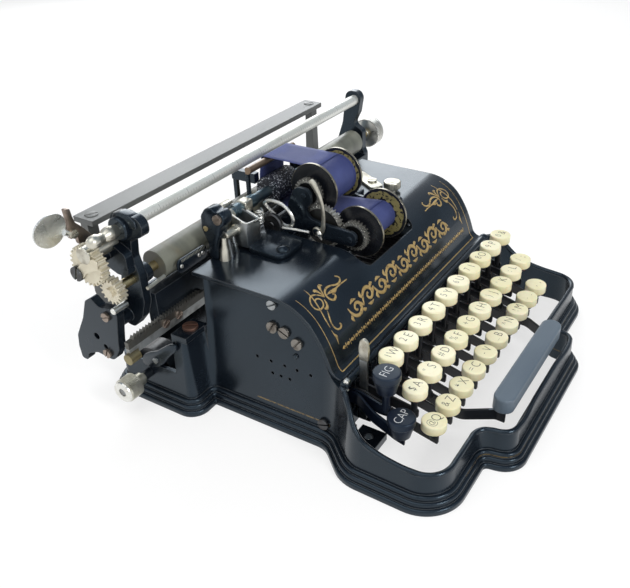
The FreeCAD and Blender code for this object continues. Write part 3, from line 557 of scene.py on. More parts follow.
# ribbon: cotton cloth from the back spool over the guide, down behind the sleeve, to the front spool
ribbon = {
    "colour": (0.0234, 0.0338, 0.1296), "worn": (0.0663, 0.0874, 0.247), "thread": 0.45, "width": 28.4,
    "route": ((36.6, 133.55, 0), (79.3, 133.45, 3.0), (82.05, 119.0, 8.0), (82.05, 101.35, 5.0),
        (58.6, 101.35, 12.0), (2.5, 107.4, 0)),
    "cup": 0.25, "thick": 0.12,
}


def clothFinish():
    f = Finish("ribbonCloth")
    across = (f.x * (2 * pi / ribbon["thread"])).sine()
    weave = across * ((f.y + f.z * 0.7) * (2 * pi / ribbon["thread"])).sine()
    wear = f.noise(35, 3, (1, 2, 2)).fade(0.4, 0.7)
    border = f.x.maths("ABSOLUTE").fade(11.0, 14.0)
    colour = f.mix(wear * 0.5 + weave * 0.08 + border * 0.25, ribbon["colour"], ribbon["worn"])
    f.paint(colour, 0.68 + wear * 0.1, weave, 0.05, 0.6, Sheen_Weight=0.25, Sheen_Roughness=0.4,
        Sheen_Tint=(0.5, 0.55, 0.9, 1.0))


def makeRibbon():
    shape = bmesh.new()
    half = ribbon["width"] / 2
    line = [shape.verts.new((-half, y, z)) for y, z, _ in ribbon["route"]]
    edges = [shape.edges.new(pair) for pair in zip(line, line[1:])]
    grown = ops.extrude_edge_only(shape, edges=edges)
    ops.translate(shape, vec=(ribbon["width"], 0, 0), verts=newParts(grown, bmesh.types.BMVert))
    for y, z, radius in ribbon["route"]:
        if radius:
            fold = edgesWhere(shape, lambda at: abs(at.y - y) < 0.01 and abs(at.z - z) < 0.01)
            bevelled(shape, fold, radius * 0.45, 6)
    cutAcross(shape, *[-half + ribbon["width"] * step / 8 for step in range(1, 8)])
    while longest := [side for side in shape.edges if side.calc_length() > 6]:
        ops.subdivide_edges(shape, edges=longest, cuts=1, use_grid_fill=True)
    for corner in shape.verts:
        across = corner.co.x / half
        corner.co.z += ribbon["cup"] * sin(corner.co.y * 0.35 + across) * (1 - across * across) * 0.5
    piece = makePiece("ribbon_cloth", shape, "ribbonCloth", "base", "ribbon_cloth", ("ribbon",), 80)
    wall = piece.modifiers.new("wall", "SOLIDIFY")
    wall.thickness = ribbon["thick"] * mm
    wall.offset = 0


clothFinish()
makeRibbon()

spools = {
    "front": (2.5, 97.5), "rear": (36.6, 119.6), "idler": (26.0, 98.6), "flange": 17.5, "gear": 9.4,
    "idlerGear": 14.1, "leafIn": 10.2, "leafOut": 15.6, "pack": {"front": 9.5, "rear": 13.5},
}


# tin flanges with a bright rim and a painted leaf ring, ribbon wound between them, a steel gear at the left
def spoolFinish(name, which):
    f = Finish(name, 0.4, 3)
    out = f.reach(*spools[which])
    angle = f.turn(*spools[which])
    wound = f.inside(x=(-14.95, 14.95)) * out.under(spools["pack"][which] + 0.3)
    gear = f.x.under(-17.0)
    teeth = gear * out.over(spools["gear"] - 2.0)
    rim = (1 - gear) * out.over(spools["flange"] - 0.25)
    petals = (angle * 9).sine() * 0.9 + (angle * 18).maths("COSINE") * 0.5
    leaf = out.over(spools["leafIn"] + petals) * out.under(spools["leafOut"] + petals * 0.35)
    leaf = leaf * (1 - f.noise(520, 3).fade(0.55, 0.62)) * f.inside(x=(12, 15.6))
    tin = f.mix(f.cloud(60) * 0.5, (0.006, 0.007, 0.010), (0.022, 0.025, 0.030))
    colour = f.mix(f.sharp * 0.3, tin, (0.08, 0.07, 0.055))
    cloth = f.mix(f.cloud(45) * 0.5, ribbon["colour"], ribbon["worn"])
    for share, layer in ((leaf, (0.22, 0.19, 0.075)), (rim * 0.6, (0.42, 0.39, 0.31)),
        (gear, (0.030, 0.031, 0.032)), (teeth * 0.85, (0.50, 0.49, 0.45)), (wound, cloth)):
        colour = f.mix(share, colour, layer)
    turns = (f.x * (2 * pi / ribbon["thread"])).sine()
    f.paint(colour, 0.26 + wound * 0.45 + leaf * 0.2, turns * wound, 0.05, 0.5,
        Metallic=(rim + gear).most(1.0) * 0.85)


def idlerFinish():
    f = Finish("idler", 0.3, 3)
    out = f.reach(*spools["idler"])
    teeth = out.over(spools["idlerGear"] - 1.4)
    colour = f.mix(f.noise(90, 3), (0.050, 0.052, 0.052), (0.12, 0.118, 0.11))
    f.paint(f.mix(teeth.either(f.sharp) * 0.9, colour, (0.66, 0.65, 0.60)), 0.32 + f.noise(300, 2) * 0.1,
        (out * 5.0).sine() * 0.3 + f.noise(500, 2), 0.02, 0.5, Metallic=0.9)


spoolFinish("frontSpool", "front")
spoolFinish("rearSpool", "rear")
idlerFinish()

platen = {
    "y": 92.0, "z": 95.0, "radius": 9.5, "colour": (0.085, 0.09, 0.075), "worn": (0.21, 0.215, 0.175),
    "knobFrom": 148.0, "knobRibs": 11.2, "knobRings": 160, "pinionTo": -142.0, "left": -112.0,
}


def platenFinish():
    f = Finish("platenRubber")
    bands = f.noise(40, 4, (1.6, 0.7, 0.7)).fade(0.3, 0.75)
    glaze = f.noise(400, 3)
    colour = f.mix(bands * 0.85, platen["colour"], platen["worn"])
    colour = f.mix(f.noise(45, 3).fade(0.5, 0.7) * 0.6, colour, (0.15, 0.115, 0.055))
    out = f.reach(platen["y"], platen["z"])
    rings = (out * 3.1).sine().over(0.3) * out.under(platen["radius"] - 0.6)
    end = f.x.under(platen["left"] + 0.2) * out.under(platen["radius"] - 1.0)
    f.paint(f.mix(rings.either(end) * 0.6, colour, (0.075, 0.07, 0.055)), 0.33 + glaze * 0.14,
        glaze + bands * 2, 0.04, 0.5)


def axleFinish():  # brass axle with a cream pinion at the left and a knurled nickel knob at the right
    f = Finish("platenAxle", 0.4, 3)
    knob = f.x.over(platen["knobFrom"])
    pinion = f.x.under(platen["pinionTo"])
    out = f.reach(platen["y"], platen["z"])
    rim = out.over(platen["knobRibs"])
    ribs = (f.turn(platen["y"], platen["z"]) * 64).sine() * knob * rim
    rings = (out * 2.3).sine() * knob * f.x.over(platen["knobRings"])
    cloud = f.noise(150, 4).fade(0.42, 0.72)
    brass = f.mix(cloud * 0.6, *metals["brass"][:2])
    plated = f.mix(cloud * 0.5, *metals["nickel"][:2])
    plated = f.mix((1 - ribs) * 0.3 * rim, plated, (0.12, 0.10, 0.07))
    f.paint(f.mix(pinion, f.mix(knob, brass, plated), (0.62, 0.57, 0.45)), 0.27 + cloud * 0.15,
        ribs * 0.5 + rings * 0.4, 0.25, 0.8, Metallic=1 - pinion * 0.4)


platenFinish()
axleFinish()

sleeve = {"y": 72.0, "z": 112.0, "rows": 28, "letter": 2.6}


def typeFinish():  # rows of raised letters, inked, with bare specks
    f = Finish("typeRubber")
    rows = (f.turn(sleeve["y"], sleeve["z"]) * sleeve["rows"]).sine()
    marks = (f.x * (2 * pi / sleeve["letter"])).sine()
    raised = (rows * marks).fade(-0.2, 0.5) * (1 - f.cells(900).fade(0.2, 0.5) * 0.6)
    specks = f.cells(760).under(0.34) * f.noise(420, 2).over(0.44)
    f.paint(f.mix(specks, (0.010, 0.012, 0.020), (0.55, 0.58, 0.64)), 0.35 + raised * 0.2, raised, 0.35,
        0.9, Metallic=specks * 0.6)


def satinPaint(name, colour, light, rough, painted=None):  # inside the box the satin colours stand, and outside it black enamel
    f = Finish(name, 0.8)
    cloud = f.noise(22, 4, (0.4, 1, 1)).fade(0.35, 0.7)
    scuffs = f.noise(160, 5, (0.15, 1.5, 1.5), 0.6).fade(0.58, 0.75)
    shade = f.mix(cloud * 0.5 + scuffs * 0.4, colour, light)
    shade = f.mix(f.sharp * 0.5, shade, (0.16, 0.15, 0.14))
    if painted:
        shade = f.mix(f.inside(**painted), japan["colour"], shade)
    f.paint(shade, rough + scuffs * 0.15 + f.noise(900, 2) * 0.08, f.noise(1300, 2), 0.02, 0.5,
        Specular_IOR_Level=0.4)


rack = {"brightBelow": 62.3, "collar": (79.5, 56.0), "collarRadius": 3.8, "collarTo": -148.0}


def rackFinish():  # dark teeth over a brighter lower band, and a brass collar at the left end
    f = Finish("rack", 0.3, 3)
    cloud = f.noise(120, 4).fade(0.45, 0.72)
    colour = f.mix(f.z.under(rack["brightBelow"]), (0.15, 0.15, 0.14), (0.52, 0.54, 0.54))
    collar = f.reach(*rack["collar"]).under(rack["collarRadius"]) * f.x.under(rack["collarTo"])
    colour = f.mix(collar, colour, (0.26, 0.22, 0.12))
    f.paint(f.mix(cloud * 0.6, colour, (0.09, 0.085, 0.07)), 0.36 + cloud * 0.15,
        f.noise(700, 3, (0.3, 4, 4)), 0.02, 0.5, Metallic=0.9)


scaleRod = {"y": 94.0, "z": 128.0, "step": 2.54, "scale": (-120, 128)}


def scaleRodFinish():  # nickel rod with fine graduations along its front
    f = Finish("scaleNickel", 0.3, 3)
    step = scaleRod["step"]
    ticks = (f.x / step).maths("FRACT").under(0.09)
    longs = (f.x / (step * 10)).maths("FRACT").under(0.012)
    front = f.turn(scaleRod["y"], scaleRod["z"]).maths("COSINE") * -1
    band = front.over(0.55) * f.z.over(scaleRod["z"] + 0.2)
    shorts = ticks * band * f.z.under(scaleRod["z"] + 1.7)
    marks = shorts.either(longs * band) * f.inside(x=scaleRod["scale"])
    cloud = f.noise(90, 4, (0.3, 1, 1)).fade(0.45, 0.75)
    colour = f.mix(cloud * 0.5, (0.74, 0.75, 0.71), (0.47, 0.46, 0.40))
    f.paint(f.mix(marks * 0.6, colour, (0.03, 0.028, 0.024)), 0.42 + cloud * 0.12,
        f.noise(900, 2, (0.2, 3, 3)), 0.02, 0.4, Metallic=(1 - marks) * 0.7)


def creamFinish():  # pale brass wheels with bright tooth edges
    f = Finish("gearCream", 0.25, 3)
    cloud = f.noise(260, 3)
    colour = f.mix(cloud, (0.73, 0.69, 0.55), (0.56, 0.50, 0.38))
    f.paint(f.mix(f.sharp * 0.6, colour, (0.84, 0.81, 0.72)), 0.38 + cloud * 0.1, cloud, 0.03, 0.5,
        Metallic=0.5)


typeFinish()
rackFinish()
# paper rest: black paint given a mid-grey colour, a painted reflection of the bright room
satinPaint("greyJapan", (0.085, 0.090, 0.090), (0.150, 0.156, 0.150), 0.36)
# space bar: inside this box the blue-grey colours are a painted reflection on black paint, and outside it stays
# black enamel
spaceBarReflectionBox = {"y": (-130, -110.4), "z": (27.8, 40)}
satinPaint("barLacquerPaintedReflection", (0.072, 0.100, 0.132), (0.118, 0.150, 0.185), 0.36, spaceBarReflectionBox)
scaleRodFinish()
creamFinish()

drum = {"y": 99.0, "z": 19.0, "knobTo": -132.0, "knobRadius": 8.0, "face": -150.0}


def drumFinish():  # black spring drum, and a knurled winding knob on its shaft
    f = Finish("springDrum", 0.5, 3)
    knob = f.x.under(drum["knobTo"])
    rim = f.reach(drum["y"], drum["z"]).over(drum["knobRadius"] - 0.4)
    ribs = (f.turn(drum["y"], drum["z"]) * 44).sine() * knob * rim
    cloud = f.noise(130, 4).fade(0.42, 0.7)
    plated = f.mix(cloud * 0.7, (0.60, 0.59, 0.51), (0.27, 0.25, 0.18))
    black = f.black(cloud * 0.4 + f.sharp * 0.3)
    f.paint(f.mix(knob, black, plated), 0.28 + cloud * 0.15, ribs, 0.3, 0.8, Metallic=knob * 0.95)


bracket = {"scaleX": (-104.0, -81.5), "scaleY": (76.6, 77.2), "scaleTop": 99.0, "step": 1.27}


def bracketFinish():  # black bracket, with white graduations along the paper scale at its left
    f = Finish("sleeveBracket", 0.7)
    cloud = f.cloud(60)
    ticks = f.inside(bracket["scaleX"], bracket["scaleY"],
        (bracket["scaleTop"] - 2.2, bracket["scaleTop"] - 0.3))
    mark = ticks * (f.x / bracket["step"]).maths("FRACT").under(0.3)
    black = f.black(cloud * 0.4 + f.sharp * 0.25)
    f.paint(f.mix(mark * 0.8, black, (0.42, 0.42, 0.36)), 0.22 + cloud * 0.1 + mark * 0.3, f.noise(240, 2),
        0.04, 0.4, **shine)


def frameFinish():  # black ribbon frame, and a bronze guide rod at its back
    f = Finish("ribbonFrame", 0.7)
    cloud = f.cloud(60)
    guide = f.inside(y=(73.9, 79.2), z=(127.9, 133.2))
    black = f.black(cloud * 0.4 + f.sharp * 0.25)
    rod = f.mix(cloud, (0.30, 0.215, 0.15), (0.15, 0.10, 0.07))
    f.paint(f.mix(guide, black, rod), 0.22 + cloud * 0.12 + guide * 0.1, f.noise(240, 2), 0.04, 0.4,
        Metallic=guide * 0.9, **shine)


drumFinish()
bracketFinish()
frameFinish()
covers = {
    "caseEnamel": ("base_casting",), "coverEnamel": ("top_cover",), "ribbonFrame": ("ribbon_frame",),
    "enamel": ("key_comb", "carriage_frame", "carriage_end_plate", "hammer"),
    "steel": ("key_fulcrum_rod", "universal_bar", "shift_lock_lever"), "rack": ("carriage_rack",),
    "platenAxle": ("platen_axle",), "gearCream": ("line_space_gear",), "greyJapan": ("paper_rest",),
    "barLacquerPaintedReflection": ("space_bar",), "scaleNickel": ("scale_rod",), "springDrum": ("spring_drum",),
    "platenRubber": ("platen",), "typeRubber": ("type_sleeve",), "frontSpool": ("ribbon_spool_front",),
    "rearSpool": ("ribbon_spool_rear",), "idler": ("ribbon_drive_gear",),
}
for finish, names in covers.items():
    cover(finish, *names)
print("CAD nodes finished")

# gold lines, corner scrolls and a running scroll band on the cover's front
# strokes are places across and up a plane that leans as the front does, each with the stroke's half width
gilt = {
    "foot": (0.0, -29.7, 53.7), "up": (0.0, 0.533, 0.846), "out": (0.0, -0.846, 0.533), "flat": 0.12,
    "proud": 0.03, "edgeX": 97.3, "lowLine": -3.8, "highLine": 46.0, "bandAt": 20.6, "bandStep": 15.5,
    "bandHalf": 62.0, "beadAt": 6.6, "beadStep": 4.8, "beadHalf": 84.0,
}
cornerScroll = (
    ((-60.4, 42.9, .3), (-58.7, 41.2, .55), (-60.2, 39.2, .6), (-64.6, 38.7, .6), (-69.6, 40.5, .55),
        (-74.4, 40.7, .6), (-77.7, 38.5, .65), (-77.6, 35.4, .7), (-75.4, 33.3, .75), (-72.7, 33.7, .8),
        (-71.9, 35.3, .65), (-73.2, 36.2, .3)),
    ((-77.2, 37.9, .2), (-73.0, 37.7, .8), (-70.0, 37.0, 1.4), (-67.0, 37.4, .5), (-62.5, 37.5, .4),
        (-55.0, 37.2, .35)),
    ((-79.3, 38.4, .3), (-78.0, 41.4, .5), (-76.6, 43.6, 1.05), (-75.0, 44.3, .75), (-73.9, 43.4, .3)),
    ((-79.7, 38.6, .3), (-80.1, 41.4, .6), (-81.2, 43.6, 1.05), (-82.8, 43.6, .5)),
    ((-79.6, 37.8, .4), (-82.4, 40.9, .45), (-86.3, 42.7, .5), (-90.3, 41.3, .5), (-92.2, 38.0, .45),
        (-91.0, 35.1, .5), (-87.5, 34.0, .55), (-84.3, 35.4, .55), (-83.5, 38.0, .5), (-85.4, 39.8, .45),
        (-87.8, 39.2, .4), (-88.3, 37.5, .25)),
    ((-86.1, 47.4, .2), (-86.9, 43.0, .4), (-88.4, 38.0, .5), (-90.1, 31.0, .5), (-90.7, 25.5, .45),
        (-90.6, 22.2, .25)),
    ((-81.4, 36.9, .3), (-82.3, 33.8, .85), (-84.2, 32.2, 1.1), (-85.9, 32.8, .5)),
    ((-85.2, 31.0, .3), (-86.5, 28.0, .55), (-87.8, 23.5, .55), (-86.7, 19.4, .55), (-83.8, 17.7, .6),
        (-81.2, 18.7, .8), (-81.7, 20.4, .4)),
    ((-90.8, 20.4, .2), (-90.2, 17.5, .45), (-89.2, 15.3, 1.15), (-89.6, 13.1, .5), (-90.0, 10.6, .15)),
)
bandScroll = (
    ((-7.6, -2.9, .4), (-6.2, 1.0, .9), (-2.0, 4.9, 1.2), (2.8, 4.6, 1.35), (4.9, 1.1, 1.3),
        (2.7, -1.9, 1.05), (-0.6, -1.2, .9), (-1.0, 1.3, .8), (0.8, 2.0, .75)),
    ((-5.8, 1.2, .3), (-7.4, 4.0, 1.5), (-6.4, 6.3, .3)),
    ((4.2, 3.2, .3), (6.8, 5.2, 1.4), (8.7, 5.2, .3)),
    ((3.4, -1.0, .4), (5.8, 0.4, 1.0), (7.7, 2.9, .5)),
    ((-3.6, -3.9, .3), (-0.6, -5.0, 1.2), (3.0, -4.2, .3)),
)


def stroke(places, smooth=4):
    return bentRod([(across, up, 0, swell) for across, up, swell in places], 1.0, 1, smooth)


def layGold(name, shapes):
    shell = BVHTree.FromPolygons([corner.co / mm for corner in nodes["top_cover"].data.vertices],
        [polygon.vertices for polygon in nodes["top_cover"].data.polygons])
    foot, up, out = (Vector(gilt[key]) for key in ("foot", "up", "out"))
    shape = joined(*shapes)
    for corner in shape.verts:
        across, rise, proud = corner.co
        start = foot + Vector((across, 0, 0)) + up * rise + out * 60
        hit, normal, _, _ = shell.ray_cast(start, -out)
        if normal.dot(out) < 0:
            normal = -normal
        corner.co = hit + normal * (gilt["proud"] + proud * gilt["flat"])
    makePiece(name, shape, "goldLeaf", "base", "brass", sharp=180)


def goldBorder():
    low, high, side = gilt["lowLine"], gilt["highLine"], gilt["edgeX"]
    lines = []
    for x in (-side, side):
        steps = [low + (high - low) * step / 14 for step in range(15)]
        lines.append(stroke([(x, up, 0.36 - 0.18 * step / 14) for step, up in enumerate(steps)]))
    lines.append(stroke([(-side + 2 * side * step / 16, low, 0.34) for step in range(17)]))
    return lines


def goldScrolls():
    lines = []
    for side in (1, -1):
        lines += [stroke([(side * x, up, swell) for x, up, swell in places]) for places in cornerScroll]
    count = round(gilt["bandHalf"] / gilt["bandStep"])
    for step in range(-count, count + 1):
        flip = 1 if step % 2 else -1
        for places in bandScroll:
            lines.append(stroke([(gilt["bandStep"] * step + x, gilt["bandAt"] + flip * up, swell)
                for x, up, swell in places]))
    count = round(gilt["beadHalf"] / gilt["beadStep"])
    for step in range(-count, count + 1):
        x, up = gilt["beadStep"] * step, gilt["beadAt"]
        lines.append(stroke([(x - 1.6, up, .3), (x, up, 1.35), (x + 1.6, up, .3)], 3))
        lines.append(stroke([(x + 2.4, up - 1.7, .4), (x + 2.4, up + 1.7, .4)], 2))
    return lines


layGold("cover_lines", goldBorder())
layGold("cover_scrolls", goldScrolls())
print("gold laid on the cover")

# rolled bead along the top of the skirt, from shoulder to shoulder
rimBead = {
    "radius": 1.75,
    "half": ((111.6, -42.2, 50.2), (114.0, -44.6, 48.3), (117.0, -48.3, 44.2), (119.8, -51.4, 39.6),
        (121.9, -55.2, 34.6), (123.3, -60.5, 29.8), (123.8, -69, 26.3), (124.1, -81, 23.9),
        (123.9, -92, 23.1), (122.6, -99.4, 22.9), (118.2, -105.6, 22.9), (111.2, -109.0, 22.9),
        (103, -109.4, 22.9)),
    "left": ((-83, -109.4, 22.9), (-77.6, -109.6, 22.9), (-72.8, -112.2, 22.9), (-70.2, -117.2, 22.9),
        (-68.9, -122.9, 23.0), (-66.2, -127.0, 23.1), (-61, -129.3, 23.1)),
    "right": ((61.4, -109.4, 22.9), (56.0, -109.6, 22.9), (51.2, -112.2, 22.9), (48.5, -117.2, 22.9),
        (47.2, -122.9, 23.0), (44.6, -127.0, 23.1), (39.4, -129.3, 23.1)),
    "front": ((-30, -129.3, 23.1), (8, -129.3, 23.1)),
}


def makeRim():
    left = [(-x, y, z) for x, y, z in rimBead["half"]] + list(rimBead["left"])
    right = list(reversed(list(rimBead["half"]) + list(rimBead["right"])))
    shape = bentRod([*left, *rimBead["front"], *right], rimBead["radius"], 3, 5)
    makePiece("skirt_bead", shape, "caseEnamel", "base", "black_casting")


makeRim()

# screws, thumb nut and strip on the case
caseSide = {"half": 107.0, "slope": 5 / 92.5, "top": 92.5}
sideScrews = (
    ((11.4, 86.7), 3.1, 0.5, "steel"), ((11.6, 71.4), 3.7, 1.1, "wornSteel"),
    ((3.2, 70.3), 3.7, -0.4, "wornSteel"), ((-5.9, 65.5), 3.7, 0.9, "wornSteel"),
    ((-24.2, 14.0), 3.7, 0.3, "darkSteel"),
)
sidePin = {"at": (-4.4, 56.0), "profile": ((0, 0), (0, 1.7), (0.9, 1.7), (1.5, 1.02), (1.6, 0))}
bedScrew = (113.0, 69.0, 57.0)
caseFastener = ("case_fasteners",)


def makeCaseScrews():
    for side, word in ((-1, "left"), (1, "right")):
        lean = (side, 0, caseSide["slope"])

        def onSide(y, z):
            return side * (caseSide["half"] - caseSide["slope"] * z), y, z

        for number, (at, radius, angle, finish) in enumerate(sideScrews, 1):
            makeScrew(f"case_screw_{word}_{number}", (radius, 1.9, 1.0, 0.8, 1.0), onSide(*at), lean, angle,
                finish, "base", "steel", caseFastener)
        makeTurned("case_pin_" + word, sidePin["profile"], 20, onSide(*sidePin["at"]), lean,
            "coverEnamel", "base", "steel", caseFastener)
        x, y, z = bedScrew
        makeScrew("bed_screw_" + word, (5.0, 1.7, 1.6, 1.0, 0.8), (side * x, y, z), upward, 0.7,
            "redBronze", "base", "steel", caseFastener)


thumbNut = {"place": (62.0, 20.0, 92.5), "radius": 6.3, "ribs": 60}
coverStrip = {"from": (75.0, 57.0), "to": (58.0, 29.5), "half": 5.0, "screw": (64.9, 38.4), "thick": 2.0}


def makeCoverFittings():
    rest = ("nickelDull", "base", "nickel", caseFastener)
    r = thumbNut["radius"]
    shape = turned([(0, 0), (0, 4.2), (1.6, 4.2), (2.0, r - 0.5), (2.5, r), (6.4, r), (6.9, r - 0.5),
        (7.1, r - 1.2), (6.9, 2.4), (7.3, 2.0), (7.3, 0)], thumbNut["ribs"])
    makePiece("thumb_nut", moved(knurl(shape, r, thumbNut["ribs"], 0.35), thumbNut["place"], upward), *rest)
    first, last = Vector(coverStrip["from"]), Vector(coverStrip["to"])
    along = (last - first).normalized()
    across = Vector((-along.y, along.x)) * coverStrip["half"]
    outline = [first + across, first - across, last - across, last + across]
    shape = laidFlat(plate([(point.x, point.y) for point in outline], coverStrip["thick"], 2.5, 0.4),
        caseSide["top"])
    makePiece("cover_strip", shape, *rest)
    place = (*coverStrip["screw"], caseSide["top"] + coverStrip["thick"])
    makeScrew("strip_screw", (3.5, 1.3, 1.1, 0.8, 0.7), place, upward, 0.4, *rest)


makeCaseScrews()
makeCoverFittings()
print("case fittings made")

# conical collars under the two shift keys
for name, place, height in (("fig_key", (-102.0, -64.0, 61.6), 8.6), ("cap_key", (-109.0, -77.4, 40.1), 8.0)):
    profile = [(0, 0), (0, 7.6), (1.0, 7.5), (height * 0.7, 6.3), (height, 5.8), (height, 0)]
    makeTurned("collar_" + name, profile, 32, place, (0, 0, -1), "navyCaps", name, "black_plastic")

# nickel thumb piece at the top of the shift lock lever
lockTip = [(-47.9, 62.0), (-42.1, 62.0), (-41.6, 70.0), (-42.6, 75.6), (-45.0, 77.2), (-47.4, 75.6),
    (-48.4, 70.0)]
shape = moved(plate(lockTip, 2.4, 1.2, 0.7), (-95.2, 0, 0))
makePiece("lock_lever_tip", shape, "nickelDull", "shift_lock_lever", "nickel")

# ribbon lever: a slender curved brass strip on the idler's pin
ribbonLever = {
    "x": -31.0, "hub": (25.8, 98.4), "point": (24.6, 99.2), "swell": 1.45,
    "curve": ((24.6, 97.2, 1.5), (21.6, 100.5, 1.25), (20.7, 106.5, 1.05), (20.9, 114.5, 1.0),
        (22.6, 121.5, 1.1), (25.4, 127.6, 1.45), (28.2, 131.6, 1.75), (29.4, 133.0, 1.1)),
}


def makeRibbonLever():
    x = ribbonLever["x"]
    strip = bentRod([(0, y, z, swell) for y, z, swell in ribbonLever["curve"]], ribbonLever["swell"], 3, 5)
    ops.scale(strip, vec=(0.55, 1, 1), verts=strip.verts)
    ops.translate(strip, vec=(x, 0, 0), verts=strip.verts)
    hub = moved(turned([(-0.9, 0), (-0.9, 2.4), (-0.5, 3.2), (0.8, 3.2), (0.8, 0)], 24),
        (x, *ribbonLever["hub"]))
    node = ("ribbon_lever",)
    makePiece("ribbon_lever_strip", joined(strip, hub), "nickelDull", "ribbon_lever", "brass", node)
    makeTurned("ribbon_lever_point", [(0, 0), (0, 1.9), (2.0, 2.4), (6.6, 0.3), (6.8, 0)], 20,
        (x, *ribbonLever["point"]), (0, -0.35, -0.94), "nickel", "ribbon_lever", "nickel", node)


makeRibbonLever()

# line-space lever: a bronze fork on its pin, with a dished nickel paddle riveted to it
fork = [(-136.4, 110.8), (-131.6, 111.4), (-131.2, 116.6), (-134.2, 121.0), (-138.4, 126.4), (-142.0, 130.2),
    (-143.0, 134.6), (-143.6, 139.6), (-147.2, 140.4), (-146.8, 132.1), (-149.0, 126.4), (-147.0, 121.4),
    (-142.8, 123.2), (-142.6, 117.0)]
paddle = {"centre": (-158.9, 119.4, 131.7), "wide": 11.3, "high": 9.3, "dish": 1.2, "lean": 0.12, "rings": 7,
    "neck": ((-150.4, 119.4, 127.4, 2.2), (-147.0, 119.4, 125.2, 1.9), (-144.6, 119.4, 123.6, 1.6)),
    "rivet": (-145.4, 117.9, 124.6)}


def makeLineSpaceLever():
    rest = ("line_space_lever", "nickel", ("line_space_lever",))
    shape = stoodUp(plate([(z, x) for x, z in fork], 3.0, 0.9, 0.45), 117.9)
    makePiece("line_space_fork", shape, "bronze", *rest)
    spoon = bmesh.new()
    ops.create_circle(spoon, cap_ends=True, segments=40, radius=1.0)
    for _ in range(paddle["rings"]):
        ops.inset_region(spoon, faces=[face for face in spoon.faces if len(face.verts) == 40],
            thickness=0.125, depth=0)
    for corner in spoon.verts:
        out = corner.co.xy.length
        corner.co.z = paddle["dish"] * (out * out - 0.55)
        corner.co.x *= paddle["wide"] * (1 + 0.08 * corner.co.y)
        corner.co.y *= paddle["high"]
    ops.solidify(spoon, geom=spoon.faces[:], thickness=0.9)
    ops.recalc_face_normals(spoon, faces=spoon.faces)
    tilt = Matrix.Rotation(radians(90), 4, "X") @ Matrix.Rotation(paddle["lean"], 4, "Z")
    turnedBy(spoon, Matrix.Translation(paddle["centre"]) @ tilt)
    neck = bentRod(paddle["neck"], 1.0, 3)
    makePiece("line_space_paddle", joined(spoon, neck), "brightNickel", *rest, 50)
    makeScrew("line_space_rivet", (2.6, 1.6, 0.8, 0.6, 0.8), paddle["rivet"], forward, 0.3, "nickelDull", *rest)


makeLineSpaceLever()
print("levers made")

# carriage: bosses, pins, pawl plate and screws at its left end
# turned pieces have a profile along X, a number of steps, and the place of their axis
leftEnd = {
    "scale_rod_boss": (((-134, 0), (-134, 6.4), (-133.2, 7.2), (-121, 7.2), (-120, 6.2), (-120, 0)), 36,
        (94.0, 128.0), "enamel", "carriage", "black_casting"),
    "axle_boss": (((-125, 0), (-125, 6.6), (-119.5, 6.0), (-118.5, 4.4), (-118.5, 0)), 36,
        (92.0, 95.0), "enamel", "carriage", "black_casting"),
    "release_pin": (((-155, 0), (-155, 4.6), (-154.2, 5.3), (-132, 5.3), (-132, 0)), 32,
        (101.8, 118.6), "nickelDull", "carriage", "nickel"),
    "rod_finial": (((-155.4, 0), (-155.4, 1.7), (-154.2, 3.2), (-152.4, 3.9), (-149.0, 3.9), (-147.2, 3.0),
        (-144.8, 2.8), (-142.4, 4.1), (-140.2, 4.5), (-137.8, 4.1), (-135.8, 3.4), (-131.0, 3.2),
        (-131.0, 0)), 32, (94.0, 128.0), "nickelDull", "carriage", "nickel"),
    "small_pin": (((-147.5, 0), (-147.5, 1.7), (-147, 2.1), (-136, 2.1), (-136, 0)), 20,
        (96.0, 79.2), "nickel", "carriage", "nickel"),
    "wind_knob_ring": (((-150, 2.6), (-151.1, 2.8), (-151.5, 3.4), (-151.5, 6.3), (-151, 7.1), (-150, 7.4)),
        36, (drum["y"], drum["z"]), "nickel", "spring_drum", "nickel"),
}
pawl = ((112.0, 100.6), (112.4, 106.0), (106.0, 112.4), (95.0, 118.4), (91.6, 117.0), (92.4, 112.0),
    (103.0, 106.6), (108.6, 100.4))
cap = ((80.4, 130.0), (80.6, 134.6), (84.6, 137.6), (93.0, 138.0), (97.2, 136.8), (98.6, 133.0),
    (98.6, 130.0))


def makeLeftEnd():
    for name, (profile, steps, axis, *rest) in leftEnd.items():
        makeTurned(name, profile, steps, (0, *axis), rightward, *rest)
    makeTurned("wind_knob_pin", [(0, 0), (0, 2.3), (0.7, 2.3), (1.0, 1.8), (1.0, 0)], 24,
        (drum["face"], drum["y"], drum["z"]), leftward, "steel", "spring_drum", "nickel")
    shape = moved(plate(pawl, 1.0, 0.8, 0.25), (-154.4, 0, 0))
    makePiece("pawl_plate", shape, "gearCream", "carriage", "brass")
    shape = moved(plate(cap, 6.6, 3.0, 1.6), (-131.8, 0, 0))
    makePiece("bracket_cap", shape, "enamel", "carriage", "black_casting")
    strip = bentRod([(-131, 81.0, 91.4), (-123.5, 81.0, 92.0), (-116, 81.0, 92.6)], 1.2, 3)
    makePiece("beam_rod", strip, "nickelDull", "carriage", "nickel")


# screws have their sizes, their way out, their turn and their finish, then the places of each one
carriageScrews = {
    "ratchet_screw": ((4.6, 4.2, 1.3, 1.3, 0.9), leftward, (1.3,), "darkSteel", (-151.2, 110.6, 104.8)),
    "plate_screw": ((3.1, 1.8, 1.0, 0.8, 0.8), leftward, (0.4, 1.2), "bronze", (-145.0, 105.5, 71.6),
        (-145.0, 111.4, 42.2)),
    "rack_screw": ((2.9, 1.4, 0.9, 0.7, 0.6), forward, (0.5, 0.5), "bronze", (-123.7, 79.0, 63.2),
        (-111.6, 79.0, 62.8)),
    "rest_screw": ((4.2, 0.8, 1.0, 0.5, 0.3), upward, (1.1, 1.1), "greyJapan", (-117.0, 134.0, 120.6),
        (127.0, 134.0, 120.6)),
}


